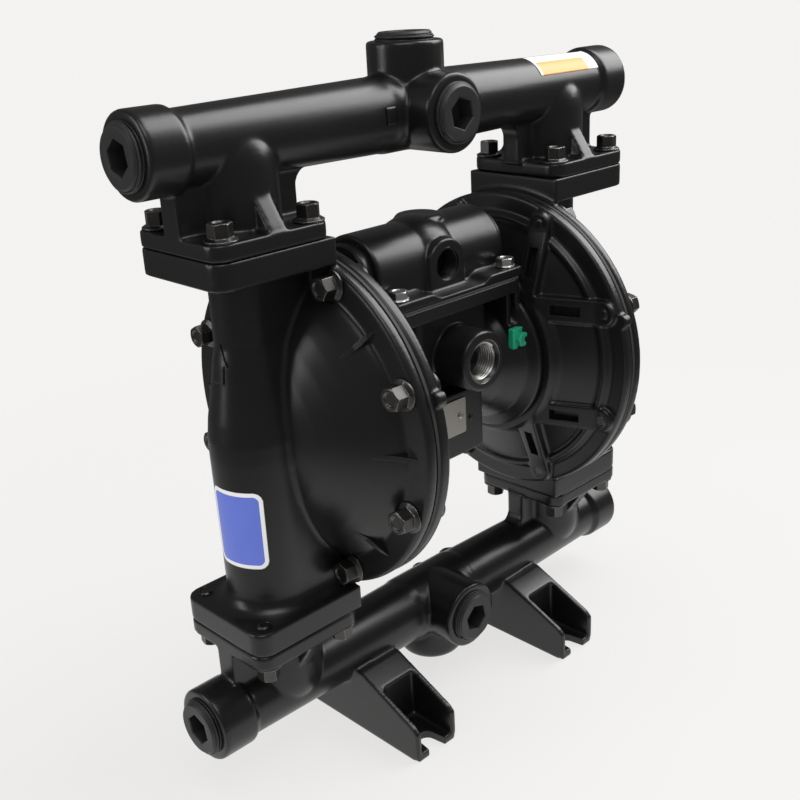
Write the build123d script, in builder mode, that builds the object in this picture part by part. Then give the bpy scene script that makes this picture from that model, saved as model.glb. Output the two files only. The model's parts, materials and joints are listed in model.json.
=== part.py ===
"""Metal air operated double diaphragm pump with 1 inch fluid ports.

Two pumping chambers stand either side of a centre section. A shaft joins their diaphragms
and slides along X. Ball checks at the four corners of the covers let the fluid go up only,
from the inlet manifold at the bottom to the outlet manifold at the top.

Frame: millimetres, +Z up, X along the manifolds, -Y the side with the air inlet.
The origin is on the base plane, under the middle of the pump.
"""

import os
from math import cos, radians, sin, sqrt

from build123d import *

os.makedirs("parts", exist_ok=True)

# ---------------------------------------------------------------- driving dimensions
# heights
inlet_z = 48.4            # inlet manifold axis above the base
axis_pitch = 323.3        # inlet axis to outlet axis
outlet_drop = 51.6        # outlet axis down to its flange joint
inlet_rise = 49.4         # inlet axis up to its flange joint
outlet_z = inlet_z + axis_pitch
disc_z = inlet_z + axis_pitch / 2      # pump axis
top_joint_z = outlet_z - outlet_drop
low_joint_z = inlet_z + inlet_rise

# manifolds
manifold_half = 186.5
tube_r = 19.0
tube_bore_r = 13.0
end_boss_r = 21.8
end_boss_len = 23.2
cross_r = 22.0            # thickened middle and the two centre bosses
cross_half = 24.0
cross_taper = 12.0
boss_reach = 38.6         # tube axis to a centre boss face
port_r = 16.65            # tapped wall of a 1 inch port
port_depth = 20.0
leg_x = 129.5
riser_r = 24.0
riser_shift = 2.0         # the riser stands a little nearer the middle than its flange
web_half_t = 7.0
web_corner_r = 9.0
gusset_t = 8.0
gusset_rise = 17.0
manifold_flange_t = 9.0

# flanges shared by the manifolds and the fluid covers
flange_x0 = 92.0          # inner edge of a cover flange
flange_x1 = 167.0
flange_half_y = 36.2
flange_inset = 1.2        # a manifold flange stops short of the cover flange
flange_corner_r = 9.0
cover_flange_t = 14.5
flange_bolt_dx = 27.5
flange_bolt_dy = 27.5

# ball checks
ball_r = 15.0
ball_lift = 7.0
ball_gap = 0.3            # ball to its seat at rest
cage_r = 17.0
seat_r = 20.0
seat_t = 8.0
seat_lip_r = 13.0         # outer edge of the 45 degree seat
seat_bore_r = 10.0
seat_gap = 0.2
ring_t = 2.0              # section of a seat O-ring

# covers
rim_r = 100.8
rim_edge = 1.2
joint_x = 87.5            # middle of the clamped diaphragm
diaphragm_t = 2.0
diaphragm_roll = 5.0
fluid_rim_t = 7.0
air_rim_t = 7.5
dome_apex_x = 130.0
dome_sphere_r = 123.0
dome_foot_r = 83.0
dome_wall = 5.0
riser_low_r = 25.5        # riser column of the fluid cover, bottom and top
riser_top_r = 17.0
riser_low_bore_r = 20.0
riser_top_bore_r = 11.5
riser_flare_r = 9.0
bolt_circle_r = 91.6
cover_bolt_count = 8
first_bolt_deg = 22.5
boss_r = 9.0
boss_face_x = 76.0
dome_rib_t = 4.0

# air cover and centre section
hub_x = 60.0
hub_r = 57.0
hub_floor_x = 66.5
hub_gasket_t = 0.8
hub_screw_r = 36.0
hub_head_r = 5.6
hub_head_t = 4.0
dish_r0 = 62.0
dish_r1 = 84.0
dish_x0 = 64.0
dish_x1 = 74.0
band_t = 14.0
ear_r = 4.5

# shaft and plates
shaft_r = 9.5
shaft_gap = 0.05
stroke = 12.5
air_plate_t = 7.0
air_plate_r = 48.0
fluid_plate_t = 7.0
fluid_plate_r = 46.0
shaft_bolt_r = 5.0
shaft_bolt_hole_gap = 0.1
shaft_bolt_head_r = 11.0
shaft_bolt_head_t = 7.0
shaft_bolt_grip = 18.0
bushing_r = 12.0
bushing_x0 = 32.0
bushing_x1 = 50.0
seal_len = 5.0

# centre housing and air valve
plate_top_z = 267.0
plate_t = 9.0
plate_half_x = 54.0
plate_half_y = 40.0
core_half_y = 32.0
core_low_z = 165.0
core_low_half_y = 14.0
core_side_z = 181.0
air_inlet_z = 229.5
air_inlet_r = 17.3
air_inlet_face_y = -55.0
air_port_r = 10.6
air_port_depth = 16.0
passage_r = 6.0
name_pad_x0 = -27.0
name_pad_x1 = 15.0
name_pad_z0 = 170.0
name_pad_z1 = 208.0
name_pad_y = -39.2
name_plate_t = 0.8
name_plate_w = 27.0
name_plate_h = 27.0
name_plate_x = -11.5
name_plate_z = 191.5
rivet_r = 1.6
ground_x = 49.0
ground_z = 231.0
ground_y = -36.0
valve_gasket_t = 1.2
valve_flange_t = 6.0
valve_half_x = 54.0
valve_z = 283.5
valve_r = 25.0
valve_barrel_half = 52.5
valve_cap_r = 21.0
valve_cap_t = 6.0
spool_r = 8.42
spool_bore_r = 8.5
spool_half = 37.0
spool_neck_r = 5.0
spool_land = 14.0
exhaust_r = 9.5
exhaust_pad_y = -28.0
exhaust_pad_half = 15.0
exhaust_depth = 14.0
valve_screw_x = 46.0
valve_screw_y = 32.5
spool_travel = 6.0

# fasteners
bolt_d = 8.0
bolt_gap = 0.2
bolt_af = 12.0
bolt_head_t = 10.5
bolt_collar_r = 8.8
bolt_collar_t = 2.0
bolt_tip = 1.0
screw_d = 6.0
screw_af = 10.0
screw_head_t = 5.6
plug_gap = 0.05
plug_proud = 4.7
plug_len = 19.0
socket_af = 15.9
socket_depth = 11.0

air_joint_x = joint_x - diaphragm_t / 2
fluid_joint_x = joint_x + diaphragm_t / 2
fluid_rim_x = fluid_joint_x + fluid_rim_t
air_rim_x = air_joint_x - air_rim_t
housing_end_x = hub_x - hub_gasket_t
ball_centre_rise = ball_r * sin(radians(45)) * 2 - seat_lip_r + ball_gap
valve_base_z = plate_top_z + valve_gasket_t
valve_flange_z = valve_base_z + valve_flange_t

axial = Plane(origin=(0, 0, disc_z), x_dir=(1, 0, 0), z_dir=(0, -1, 0))
pump_axis = Axis((0, 0, disc_z), (1, 0, 0))
across = Plane(origin=(0, 0, disc_z), x_dir=(0, 1, 0), z_dir=(1, 0, 0))
bolt_angles = [first_bolt_deg + 360 / cover_bolt_count * i for i in range(cover_bolt_count)]
flange_bolts = [(leg_x + dx, dy) for dx in (-flange_bolt_dx, flange_bolt_dx)
                for dy in (-flange_bolt_dy, flange_bolt_dy)]


def save(name, piece):
    """Label a finished piece and write it as its own file."""
    piece.label = name
    export_step(piece, f"parts/{name}.step")


def mirrored(piece):
    """The same piece on the other side of the pump."""
    return mirror(piece, about=Plane.YZ)


def section(points):
    """Closed outline of (along, radius) corners in the plane through the pump axis."""
    with BuildSketch(axial) as outline:
        with BuildLine():
            Polyline(*points, close=True)
        make_face()
    return outline.sketch


def flange_bolt(length):
    """Hex flange bolt, head up, with the underside of its collar at z = 0."""
    with BuildPart() as bolt:
        with BuildSketch():
            Circle(bolt_collar_r)
        extrude(amount=bolt_collar_t)
        with BuildSketch(Plane.XY.offset(bolt_collar_t)):
            RegularPolygon(bolt_af / 2, 6, major_radius=False)
        extrude(amount=bolt_head_t - bolt_collar_t)
        chamfer(bolt.faces().sort_by(Axis.Z)[-1].edges(), 0.8)
        with BuildSketch():
            Circle(bolt_d / 2)
        extrude(amount=-length)
    return bolt.part


def hex_screw(across_flats, length, head_t=screw_head_t, shank_d=screw_d):
    """Small hex head screw, head up, seated at z = 0."""
    with BuildPart() as screw:
        with BuildSketch():
            RegularPolygon(across_flats / 2, 6, major_radius=False)
        extrude(amount=head_t)
        chamfer(screw.faces().sort_by(Axis.Z)[-1].edges(), 0.6)
        with BuildSketch():
            Circle(shank_d / 2)
        extrude(amount=-length)
    return screw.part


def socket_plug():
    """Pipe plug with a hex socket. z = 0 is the port face and +Z points out of the port."""
    with BuildPart() as plug:
        with BuildSketch(Plane.XY.offset(plug_proud)):
            Circle(port_r - plug_gap)
        extrude(amount=-plug_len)
        chamfer(plug.faces().sort_by(Axis.Z)[-1].edges(), 1.0)
        with BuildSketch(Plane.XY.offset(plug_proud)):
            RegularPolygon(socket_af / 2, 6, major_radius=False)
        extrude(amount=-socket_depth, mode=Mode.SUBTRACT)
    return plug.part


# ---------------------------------------------------------------- manifolds
def manifold(drop, seat_recess, open_vertical):
    """Manifold casting with its axis along X at z = 0 and its legs pointing down."""
    joint_z = -drop
    flange_top = joint_z + manifold_flange_t
    flange_mid = (flange_x0 + flange_inset + flange_x1) / 2
    flange_len = flange_x1 - flange_x0 - flange_inset
    with BuildPart() as casting:
        with BuildSketch(Plane.XZ):
            with BuildLine():
                Polyline((0, 0), (0, cross_r), (cross_half, cross_r),
                         (cross_half + cross_taper, tube_r),
                         (manifold_half - end_boss_len - 2, tube_r),
                         (manifold_half - end_boss_len + 1, end_boss_r),
                         (manifold_half - 1, end_boss_r),
                         (manifold_half, end_boss_r - 1), (manifold_half, 0), close=True)
            make_face()
            mirror(about=Plane.YZ)
        revolve(axis=Axis.X)
        with BuildSketch(Plane.XZ):
            Circle(cross_r)
        extrude(amount=boss_reach)
        chamfer(casting.faces().sort_by(Axis.Y)[0].edges(), 1.0)
        with BuildSketch(Plane.XY):
            Circle(cross_r)
        extrude(amount=boss_reach)
        top_edge = casting.faces().sort_by(Axis.Z)[-1].edges()
        if open_vertical:
            chamfer(top_edge, 1.0)
        else:
            fillet(top_edge, 7.0)
        for side in (-1, 1):
            riser_x = side * (leg_x - riser_shift)
            with BuildSketch(Plane.XY.offset(joint_z)):
                with Locations((side * flange_mid, 0)):
                    RectangleRounded(flange_len, 2 * flange_half_y, flange_corner_r)
            extrude(amount=manifold_flange_t)
            with BuildSketch(Plane.XY.offset(joint_z)):
                with Locations((riser_x, 0)):
                    Circle(riser_r)
            extrude(amount=drop - riser_r / 2)
            with Locations((riser_x, 0, -riser_r / 2)):
                Sphere(riser_r)
            x0, x1 = side * (flange_x0 - 0.5), side * flange_x1
            with BuildSketch(Plane.XZ):
                with BuildLine():
                    Polyline((x0, -tube_r - web_corner_r), (x0, flange_top - 2),
                             (x1, flange_top - 2), (x1, -tube_r / 2),
                             (x0 - side * web_corner_r, -tube_r / 2),
                             (x0 - side * web_corner_r, -tube_r + 0.2))
                    RadiusArc((x0 - side * web_corner_r, -tube_r + 0.2),
                              (x0, -tube_r - web_corner_r), -side * web_corner_r)
                make_face()
            extrude(amount=web_half_t, both=True)
            with BuildSketch(Plane.YZ.offset(riser_x)):
                for face in (-1, 1):
                    with BuildLine():
                        Polyline((face * riser_r * 0.8, flange_top - 1),
                                 (face * (flange_half_y - 1.5), flange_top - 1),
                                 (face * (flange_half_y - 1.5), flange_top + 1),
                                 (face * (riser_r - 1), flange_top + gusset_rise),
                                 (face * riser_r * 0.8, flange_top + gusset_rise), close=True)
                    make_face()
            extrude(amount=gusset_t / 2, both=True)
        # passages
        with BuildSketch(Plane.YZ.offset(-manifold_half)):
            Circle(tube_bore_r)
        extrude(amount=2 * manifold_half, mode=Mode.SUBTRACT)
        for plane in (Plane.YZ.offset(manifold_half), Plane.YZ.offset(-manifold_half + port_depth)):
            with BuildSketch(plane):
                Circle(port_r)
            extrude(amount=-port_depth, mode=Mode.SUBTRACT)
        with BuildSketch(Plane.XZ.offset(boss_reach)):
            Circle(port_r)
        extrude(amount=-port_depth, mode=Mode.SUBTRACT)
        with BuildSketch(Plane.XZ):
            Circle(tube_bore_r)
        extrude(amount=boss_reach - port_depth, mode=Mode.SUBTRACT)
        if open_vertical:
            with BuildSketch(Plane.XY.offset(boss_reach)):
                Circle(port_r)
            extrude(amount=-port_depth, mode=Mode.SUBTRACT)
            with BuildSketch(Plane.XY):
                Circle(tube_bore_r)
            extrude(amount=boss_reach - port_depth, mode=Mode.SUBTRACT)
        for side in (-1, 1):
            with Locations((side * leg_x, 0, joint_z)):
                if seat_recess:
                    Cylinder(seat_r + seat_gap, seat_t,
                             align=(Align.CENTER, Align.CENTER, Align.MIN), mode=Mode.SUBTRACT)
                    Cylinder(tube_bore_r - 0.5, drop,
                             align=(Align.CENTER, Align.CENTER, Align.MIN), mode=Mode.SUBTRACT)
                else:
                    Cylinder(cage_r, ball_centre_rise + ball_r + ball_lift + 2,
                             align=(Align.CENTER, Align.CENTER, Align.MIN), mode=Mode.SUBTRACT)
                    Cylinder(tube_bore_r - 0.5, drop,
                             align=(Align.CENTER, Align.CENTER, Align.MIN), mode=Mode.SUBTRACT)
        with BuildSketch(Plane.XY.offset(joint_z)):
            with Locations(*[(side * x, y) for side in (-1, 1) for x, y in flange_bolts]):
                Circle(bolt_d / 2 + bolt_gap)
        extrude(amount=manifold_flange_t, mode=Mode.SUBTRACT)
    return casting.part


outlet_casting = manifold(outlet_drop, seat_recess=False, open_vertical=True)
with BuildPart() as outlet_manifold:
    with Locations((0, 0, outlet_z)):
        add(outlet_casting)
save("outlet_manifold", outlet_manifold.part)

foot_x0 = 53.8
foot_x1 = 87.3
foot_wall = 4.0
foot_tip_y = 72.5
foot_tip_z = 18.0
foot_floor_t = 5.0
foot_pocket_y = 39.5
foot_shoulder_y = 25.0
foot_shoulder_z = 43.0
slot_x = 70.5
slot_y = 63.5
slot_r = 6.0
foot_nose = 4.0


def foot_outline(half_y, tip_z):
    """Side view of a saddle foot, both ends, as (y, z) corners."""
    right = [(half_y - foot_nose, 0), (half_y, foot_nose), (half_y, tip_z),
             (half_y - foot_nose, tip_z + foot_nose), (foot_shoulder_y, foot_shoulder_z)]
    left = [(-y, z) for y, z in reversed(right)]
    return right + left


inlet_casting = manifold(inlet_rise, seat_recess=True, open_vertical=False)
inlet_casting = mirror(inlet_casting, about=Plane.XY)
with BuildPart() as inlet_manifold:
    with Locations((0, 0, inlet_z)):
        add(inlet_casting)
    for side in (-1, 1):
        foot_mid = side * (foot_x0 + foot_x1) / 2
        foot_w = foot_x1 - foot_x0
        for x in (foot_x0 + foot_wall / 2, foot_x1 - foot_wall / 2):
            with BuildSketch(Plane.YZ.offset(side * x)):
                with BuildLine():
                    Polyline(*foot_outline(foot_tip_y, foot_tip_z), close=True)
                make_face()
            extrude(amount=foot_wall / 2, both=True)
        # the sloping skin over the saddle, its end walls and the floor of each foot
        with BuildSketch(Plane.YZ.offset(foot_mid)):
            for end in (-1, 1):
                slope = (foot_shoulder_z - foot_tip_z - foot_nose) / (
                    foot_tip_y - foot_nose - foot_shoulder_y)
                pocket_z = foot_shoulder_z - slope * (foot_pocket_y - foot_shoulder_y) - 2
                with BuildLine():
                    Polyline((end * 10, foot_shoulder_z - 2),
                             (end * foot_shoulder_y, foot_shoulder_z - 2),
                             (end * foot_pocket_y, pocket_z), (end * foot_pocket_y, 0),
                             (end * (foot_pocket_y - foot_wall), 0),
                             (end * (foot_pocket_y - foot_wall), pocket_z - 3),
                             (end * (foot_shoulder_y - 1), foot_shoulder_z - 7),
                             (end * 10, foot_shoulder_z - 7), close=True)
                make_face()
        extrude(amount=foot_w / 2 - 1, both=True)
        with BuildSketch():
            for end in (-1, 1):
                with Locations((foot_mid, end * (foot_pocket_y - 1 + foot_tip_y - foot_nose) / 2)):
                    Rectangle(foot_w - 2, foot_tip_y - foot_nose - foot_pocket_y + 1)
            for end in (-1, 1):
                with Locations((side * slot_x, end * slot_y)):
                    Circle(slot_r, mode=Mode.SUBTRACT)
                with Locations((side * slot_x, end * (slot_y + foot_tip_y) / 2)):
                    Rectangle(2 * slot_r, foot_tip_y - slot_y + 0.1, mode=Mode.SUBTRACT)
        extrude(amount=foot_floor_t)
    # the stiffening rail on top of the tube, and the fluid passages cleared again
    with BuildSketch(Plane.XY.offset(inlet_z)):
        Rectangle(2 * leg_x, 17)
    extrude(amount=22)
    with BuildSketch(Plane.YZ.offset(-manifold_half)):
        with Locations((0, inlet_z)):
            Circle(tube_bore_r)
    extrude(amount=2 * manifold_half, mode=Mode.SUBTRACT)
    with BuildSketch(Plane.XY.offset(inlet_z)):
        with Locations((-leg_x, 0), (leg_x, 0)):
            Circle(tube_bore_r - 0.5)
    extrude(amount=inlet_rise, mode=Mode.SUBTRACT)
save("inlet_manifold", inlet_manifold.part)

# ---------------------------------------------------------------- fluid covers
dome_centre_x = dome_apex_x - dome_sphere_r


def dome_x(sphere_r, radius):
    """Where a dome of this sphere radius stands at a distance from the pump axis."""
    return dome_centre_x + sqrt(sphere_r**2 - radius**2)


dome_inner_r = dome_sphere_r - dome_wall
cavity_r = dome_foot_r - dome_wall

with BuildPart() as fluid_cover:
    # the rim and dome, turned about the pump axis
    with BuildSketch(axial):
        with BuildLine():
            Polyline((dome_apex_x, 0), (fluid_joint_x, 0), (fluid_joint_x, rim_r - rim_edge),
                     (fluid_joint_x + rim_edge, rim_r), (fluid_rim_x - rim_edge, rim_r),
                     (fluid_rim_x, rim_r - rim_edge), (fluid_rim_x, dome_foot_r + 2),
                     (dome_x(dome_sphere_r, dome_foot_r), dome_foot_r))
            ThreePointArc((dome_x(dome_sphere_r, dome_foot_r), dome_foot_r),
                          (dome_x(dome_sphere_r, dome_foot_r / 2), dome_foot_r / 2),
                          (dome_apex_x, 0))
        make_face()
    revolve(axis=pump_axis)
    # small ribs that tie the rim to the dome between the bolts
    for angle in range(0, 360, 45):
        if angle % 180 != 90:
            with BuildSketch(Plane(origin=(0, 0, disc_z), x_dir=(1, 0, 0),
                                   z_dir=(0, -cos(radians(angle)), sin(radians(angle))))):
                with BuildLine():
                    Polyline((fluid_rim_x - 1, rim_r - 8), (fluid_rim_x + 0.6, rim_r - 8),
                             (dome_x(dome_sphere_r, 76) + 0.6, 76),
                             (dome_x(dome_sphere_r, 76) - 3, 76), close=True)
                make_face()
            extrude(amount=dome_rib_t / 2, both=True)
    # the riser column, wide over the inlet ball and narrow at the top
    with BuildSketch(Plane(origin=(leg_x, 0, 0), x_dir=(1, 0, 0), z_dir=(0, -1, 0))):
        with BuildLine():
            flare_z = low_joint_z + cover_flange_t
            RadiusArc((riser_low_r, flare_z + riser_flare_r),
                      (riser_low_r + riser_flare_r, flare_z), riser_flare_r)
            Polyline((riser_low_r + riser_flare_r, flare_z),
                     (riser_low_r + riser_flare_r, flare_z - 2), (0, flare_z - 2),
                     (0, top_joint_z - 2), (riser_top_r, top_joint_z - 2))
            FilletPolyline((riser_top_r, top_joint_z - 2), (riser_top_r, disc_z + 56),
                           (riser_low_r + 0.8, disc_z - 4),
                           (riser_low_r, flare_z + riser_flare_r), radius=30)
        make_face()
    revolve(axis=Axis((leg_x, 0, 0), (0, 0, 1)))
    # top and bottom flanges, rounded on the outer corners
    for z in (top_joint_z - cover_flange_t, low_joint_z):
        with BuildSketch(Plane.XY.offset(z)) as flange_outline:
            with Locations(((flange_x0 + flange_x1) / 2, 0)):
                Rectangle(flange_x1 - flange_x0, 2 * flange_half_y)
            fillet(flange_outline.vertices().group_by(Axis.X)[-1], flange_corner_r)
        extrude(amount=cover_flange_t)
    # pumping chamber
    with BuildSketch(axial):
        with BuildLine():
            Polyline((dome_apex_x - dome_wall, 0), (fluid_joint_x, 0), (fluid_joint_x, cavity_r + 2),
                     (fluid_joint_x + 4, cavity_r + 2), (dome_x(dome_inner_r, cavity_r), cavity_r))
            ThreePointArc((dome_x(dome_inner_r, cavity_r), cavity_r),
                          (dome_x(dome_inner_r, cavity_r / 2), cavity_r / 2),
                          (dome_apex_x - dome_wall, 0))
        make_face()
    revolve(axis=pump_axis, mode=Mode.SUBTRACT)
    # ball cage over the inlet seat, riser passage and the recess of the outlet seat
    cage_top = low_joint_z + ball_centre_rise + ball_r + ball_lift + 2
    with Locations((leg_x, 0, low_joint_z)):
        Cylinder(cage_r, cage_top - low_joint_z,
                 align=(Align.CENTER, Align.CENTER, Align.MIN), mode=Mode.SUBTRACT)
        Cylinder(riser_top_bore_r, top_joint_z - low_joint_z,
                 align=(Align.CENTER, Align.CENTER, Align.MIN), mode=Mode.SUBTRACT)
    with Locations((leg_x, 0, cage_top + 4)):
        Cylinder(riser_low_bore_r, disc_z + 10 - cage_top,
                 align=(Align.CENTER, Align.CENTER, Align.MIN), mode=Mode.SUBTRACT)
    with Locations((leg_x, 0, top_joint_z)):
        Cylinder(seat_r + seat_gap, seat_t,
                 align=(Align.CENTER, Align.CENTER, Align.MAX), mode=Mode.SUBTRACT)
    # bolt holes
    with BuildSketch(Plane.XY.offset(top_joint_z)):
        with Locations(*flange_bolts):
            Circle(bolt_d / 2 + bolt_gap)
    extrude(amount=-cover_flange_t, mode=Mode.SUBTRACT)
    with BuildSketch(Plane.XY.offset(low_joint_z)):
        with Locations(*flange_bolts):
            Circle(bolt_d / 2 + bolt_gap)
    extrude(amount=cover_flange_t, mode=Mode.SUBTRACT)
    with BuildSketch(across.offset(fluid_joint_x)):
        with PolarLocations(bolt_circle_r, cover_bolt_count, start_angle=first_bolt_deg):
            Circle(bolt_d / 2 + bolt_gap)
    extrude(amount=fluid_rim_t, mode=Mode.SUBTRACT)
    with BuildSketch(across.offset(fluid_rim_x)):
        with PolarLocations(bolt_circle_r, cover_bolt_count, start_angle=first_bolt_deg):
            Circle(bolt_collar_r + 0.4)
    extrude(amount=bolt_head_t, mode=Mode.SUBTRACT)
save("right_fluid_cover", fluid_cover.part)
save("left_fluid_cover", mirrored(fluid_cover.part))

# ---------------------------------------------------------------- air covers
band_y = bolt_circle_r * sin(radians(first_bolt_deg))
with BuildPart() as cover_bands:
    revolve(section([(hub_x, hub_r - 2), (boss_face_x, bolt_circle_r), (air_joint_x, bolt_circle_r),
                      (hub_floor_x, hub_r - 2)]),
            axis=pump_axis)
    with BuildSketch(across.offset(hub_x)):
        with Locations((-band_y, 0), (band_y, 0)):
            Rectangle(band_t, 2 * rim_r)
        with Locations((0, -band_y), (0, band_y)):
            Rectangle(2 * rim_r, band_t)
    extrude(amount=air_joint_x - hub_x, mode=Mode.INTERSECT)

with BuildPart() as air_cover:
    revolve(section([(air_joint_x, 0), (hub_x, 0), (hub_x, hub_r), (dish_x0, dish_r0), (dish_x1, dish_r1),
                      (air_rim_x, dish_r1 + 4), (air_rim_x, rim_r - rim_edge),
                      (air_rim_x + rim_edge, rim_r),
                      (air_joint_x - rim_edge, rim_r), (air_joint_x, rim_r - rim_edge)]),
            axis=pump_axis)
    # four straight bands that carry the bolt bosses, standing proud of the dish
    add(cover_bands.part)
    with BuildSketch(across.offset(boss_face_x)):
        with PolarLocations(bolt_circle_r, cover_bolt_count, start_angle=first_bolt_deg):
            Circle(boss_r)
    extrude(amount=air_joint_x - boss_face_x - 1)
    # the ear beside one bolt
    with BuildSketch(across.offset(air_rim_x)):
        with PolarLocations(rim_r - 0.8, 1, start_angle=180 - 18):
            Circle(ear_r)
    extrude(amount=air_rim_t - 1)
    # air chamber
    revolve(section([(air_joint_x, 0), (air_joint_x, cavity_r + 2), (air_joint_x - 6, cavity_r + 1),
                      (hub_floor_x, hub_r - 4), (hub_floor_x, 0)]),
            axis=pump_axis, mode=Mode.SUBTRACT)
    with BuildSketch(across.offset(hub_x)):
        Circle(shaft_r + 1)
    extrude(amount=hub_floor_x - hub_x, mode=Mode.SUBTRACT)
    with BuildSketch(across.offset(hub_x)):
        with PolarLocations(bolt_circle_r, cover_bolt_count, start_angle=first_bolt_deg):
            Circle(bolt_d / 2 + bolt_gap)
    extrude(amount=air_joint_x - hub_x, mode=Mode.SUBTRACT)
    with Locations(across.offset(hub_floor_x)):
        with PolarLocations(hub_screw_r, 4, start_angle=45):
            CounterBoreHole(screw_d / 2 + bolt_gap, hub_head_r, hub_head_t,
                            depth=hub_floor_x - hub_x)
save("right_air_cover", air_cover.part)
save("left_air_cover", mirrored(air_cover.part))

# ---------------------------------------------------------------- centre housing
hub_screws = [(hub_screw_r * cos(radians(a)), hub_screw_r * sin(radians(a)))
              for a in (45, 135, 225, 315)]
valve_screws = [(x, y) for x in (-valve_screw_x, valve_screw_x)
                for y in (-valve_screw_y, valve_screw_y)]
core_outline = [(-core_half_y, plate_top_z - disc_z - 1), (core_half_y, plate_top_z - disc_z - 1),
                (core_half_y, core_side_z - disc_z), (core_low_half_y, core_low_z - disc_z),
                (-core_low_half_y, core_low_z - disc_z), (-core_half_y, core_side_z - disc_z)]
hub_face_outline = [(y, min(z, hub_r - 6)) for y, z in core_outline]

with BuildPart() as center_housing:
    with BuildSketch(across) as core_section:
        with BuildLine():
            Polyline(*core_outline, close=True)
        make_face()
    extrude(amount=plate_half_x - 4, both=True)
    with BuildSketch(across):
        with BuildLine():
            Polyline(*hub_face_outline, close=True)
        make_face()
    extrude(amount=housing_end_x, both=True)
    with BuildSketch(Plane.XY.offset(plate_top_z)):
        RectangleRounded(2 * plate_half_x, 2 * plate_half_y, 6)
    extrude(amount=-plate_t)
    # air inlet boss, nameplate pad and the lug of the ground screw
    with BuildSketch(Plane.XZ):
        with Locations((0, air_inlet_z)):
            Circle(air_inlet_r)
    extrude(amount=-air_inlet_face_y)
    chamfer(center_housing.faces().sort_by(Axis.Y)[0].edges(), 1.2)
    with BuildSketch(Plane.XZ):
        with Locations(((name_pad_x0 + name_pad_x1) / 2, (name_pad_z0 + name_pad_z1) / 2)):
            Rectangle(name_pad_x1 - name_pad_x0, name_pad_z1 - name_pad_z0)
    extrude(amount=-name_pad_y)
    with BuildSketch(Plane.XZ):
        with Locations((ground_x, ground_z)):
            RectangleRounded(13, 13, 4)
    extrude(amount=-ground_y)
    # tapped air inlet and the passage up to the valve
    with BuildSketch(Plane.XZ.offset(-air_inlet_face_y)):
        with Locations((0, air_inlet_z)):
            Circle(air_port_r)
    extrude(amount=-air_port_depth, mode=Mode.SUBTRACT)
    with BuildSketch(Plane.XZ.offset(-air_inlet_face_y)):
        with Locations((0, air_inlet_z)):
            Circle(passage_r)
    extrude(amount=air_inlet_face_y, mode=Mode.SUBTRACT)
    with BuildSketch(Plane.XY.offset(air_inlet_z)):
        Circle(passage_r)
    extrude(amount=plate_top_z - air_inlet_z, mode=Mode.SUBTRACT)
    # shaft bore with its bushing and seal recesses
    with BuildSketch(across):
        Circle(shaft_r + 1)
    extrude(amount=housing_end_x, both=True, mode=Mode.SUBTRACT)
    for end in (-1, 1):
        with BuildSketch(across.offset(end * bushing_x0)):
            Circle(bushing_r)
        extrude(amount=end * (housing_end_x - bushing_x0), mode=Mode.SUBTRACT)
        with BuildSketch(across.offset(end * housing_end_x)):
            with Locations(*hub_screws):
                Circle(screw_d / 2 + bolt_gap)
        extrude(amount=-end * 16, mode=Mode.SUBTRACT)
    with BuildSketch(Plane.XY.offset(plate_top_z)):
        with Locations(*valve_screws):
            Circle(screw_d / 2 + bolt_gap)
    extrude(amount=-plate_t, mode=Mode.SUBTRACT)
    with BuildSketch(Plane.XZ.offset(-ground_y)):
        with Locations((ground_x, ground_z)):
            Circle(2.6)
    extrude(amount=-9, mode=Mode.SUBTRACT)
    with BuildSketch(Plane.XZ.offset(-name_pad_y)):
        with Locations((name_plate_x, name_plate_z)):
            with GridLocations(name_plate_w - 5, name_plate_h - 5, 2, 2):
                Circle(rivet_r * 0.7)
    extrude(amount=-3, mode=Mode.SUBTRACT)
save("center_housing", center_housing.part)

with BuildPart() as center_gasket:
    with BuildSketch(across.offset(housing_end_x)):
        with BuildLine():
            Polyline(*hub_face_outline, close=True)
        make_face()
        Circle(shaft_r + 3, mode=Mode.SUBTRACT)
        with Locations(*hub_screws):
            Circle(screw_d / 2 + bolt_gap, mode=Mode.SUBTRACT)
    extrude(amount=hub_gasket_t)
save("right_center_gasket", center_gasket.part)
save("left_center_gasket", mirrored(center_gasket.part))

# low head cap screws that hold the air cover hub, sunk below the chamber floor
with BuildPart() as hub_screw_set:
    with BuildSketch(across.offset(hub_floor_x - 0.2)):
        with Locations(*hub_screws):
            Circle(hub_head_r - 0.3)
            RegularPolygon(2, 6, major_radius=False, mode=Mode.SUBTRACT)
    extrude(amount=-(hub_head_t - 0.2))
    with BuildSketch(across.offset(hub_floor_x - hub_head_t + 0.01)):
        with Locations(*hub_screws):
            Circle(screw_d / 2)
    extrude(amount=-16)
save("right_hub_screws", hub_screw_set.part)
save("left_hub_screws", mirrored(hub_screw_set.part))

with BuildPart() as shaft_bushings:
    for end in (-1, 1):
        with BuildSketch(across.offset(end * bushing_x0)):
            Circle(bushing_r - 0.02)
            Circle(shaft_r + shaft_gap, mode=Mode.SUBTRACT)
        extrude(amount=end * (bushing_x1 - bushing_x0))
save("shaft_bushings", shaft_bushings.part)

with BuildPart() as shaft_seals:
    for end in (-1, 1):
        with BuildSketch(across.offset(end * (bushing_x1 + 0.5))):
            Circle(bushing_r - 0.05)
            Circle(shaft_r + shaft_gap, mode=Mode.SUBTRACT)
        extrude(amount=end * seal_len)
save("shaft_seals", shaft_seals.part)

with BuildPart() as nameplate:
    with BuildSketch(Plane.XZ.offset(-name_pad_y)):
        with Locations((name_plate_x, name_plate_z)):
            RectangleRounded(name_plate_w, name_plate_h, 2)
            with GridLocations(name_plate_w - 5, name_plate_h - 5, 2, 2):
                Circle(rivet_r * 0.75, mode=Mode.SUBTRACT)
    extrude(amount=name_plate_t)
save("nameplate", nameplate.part)

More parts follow.
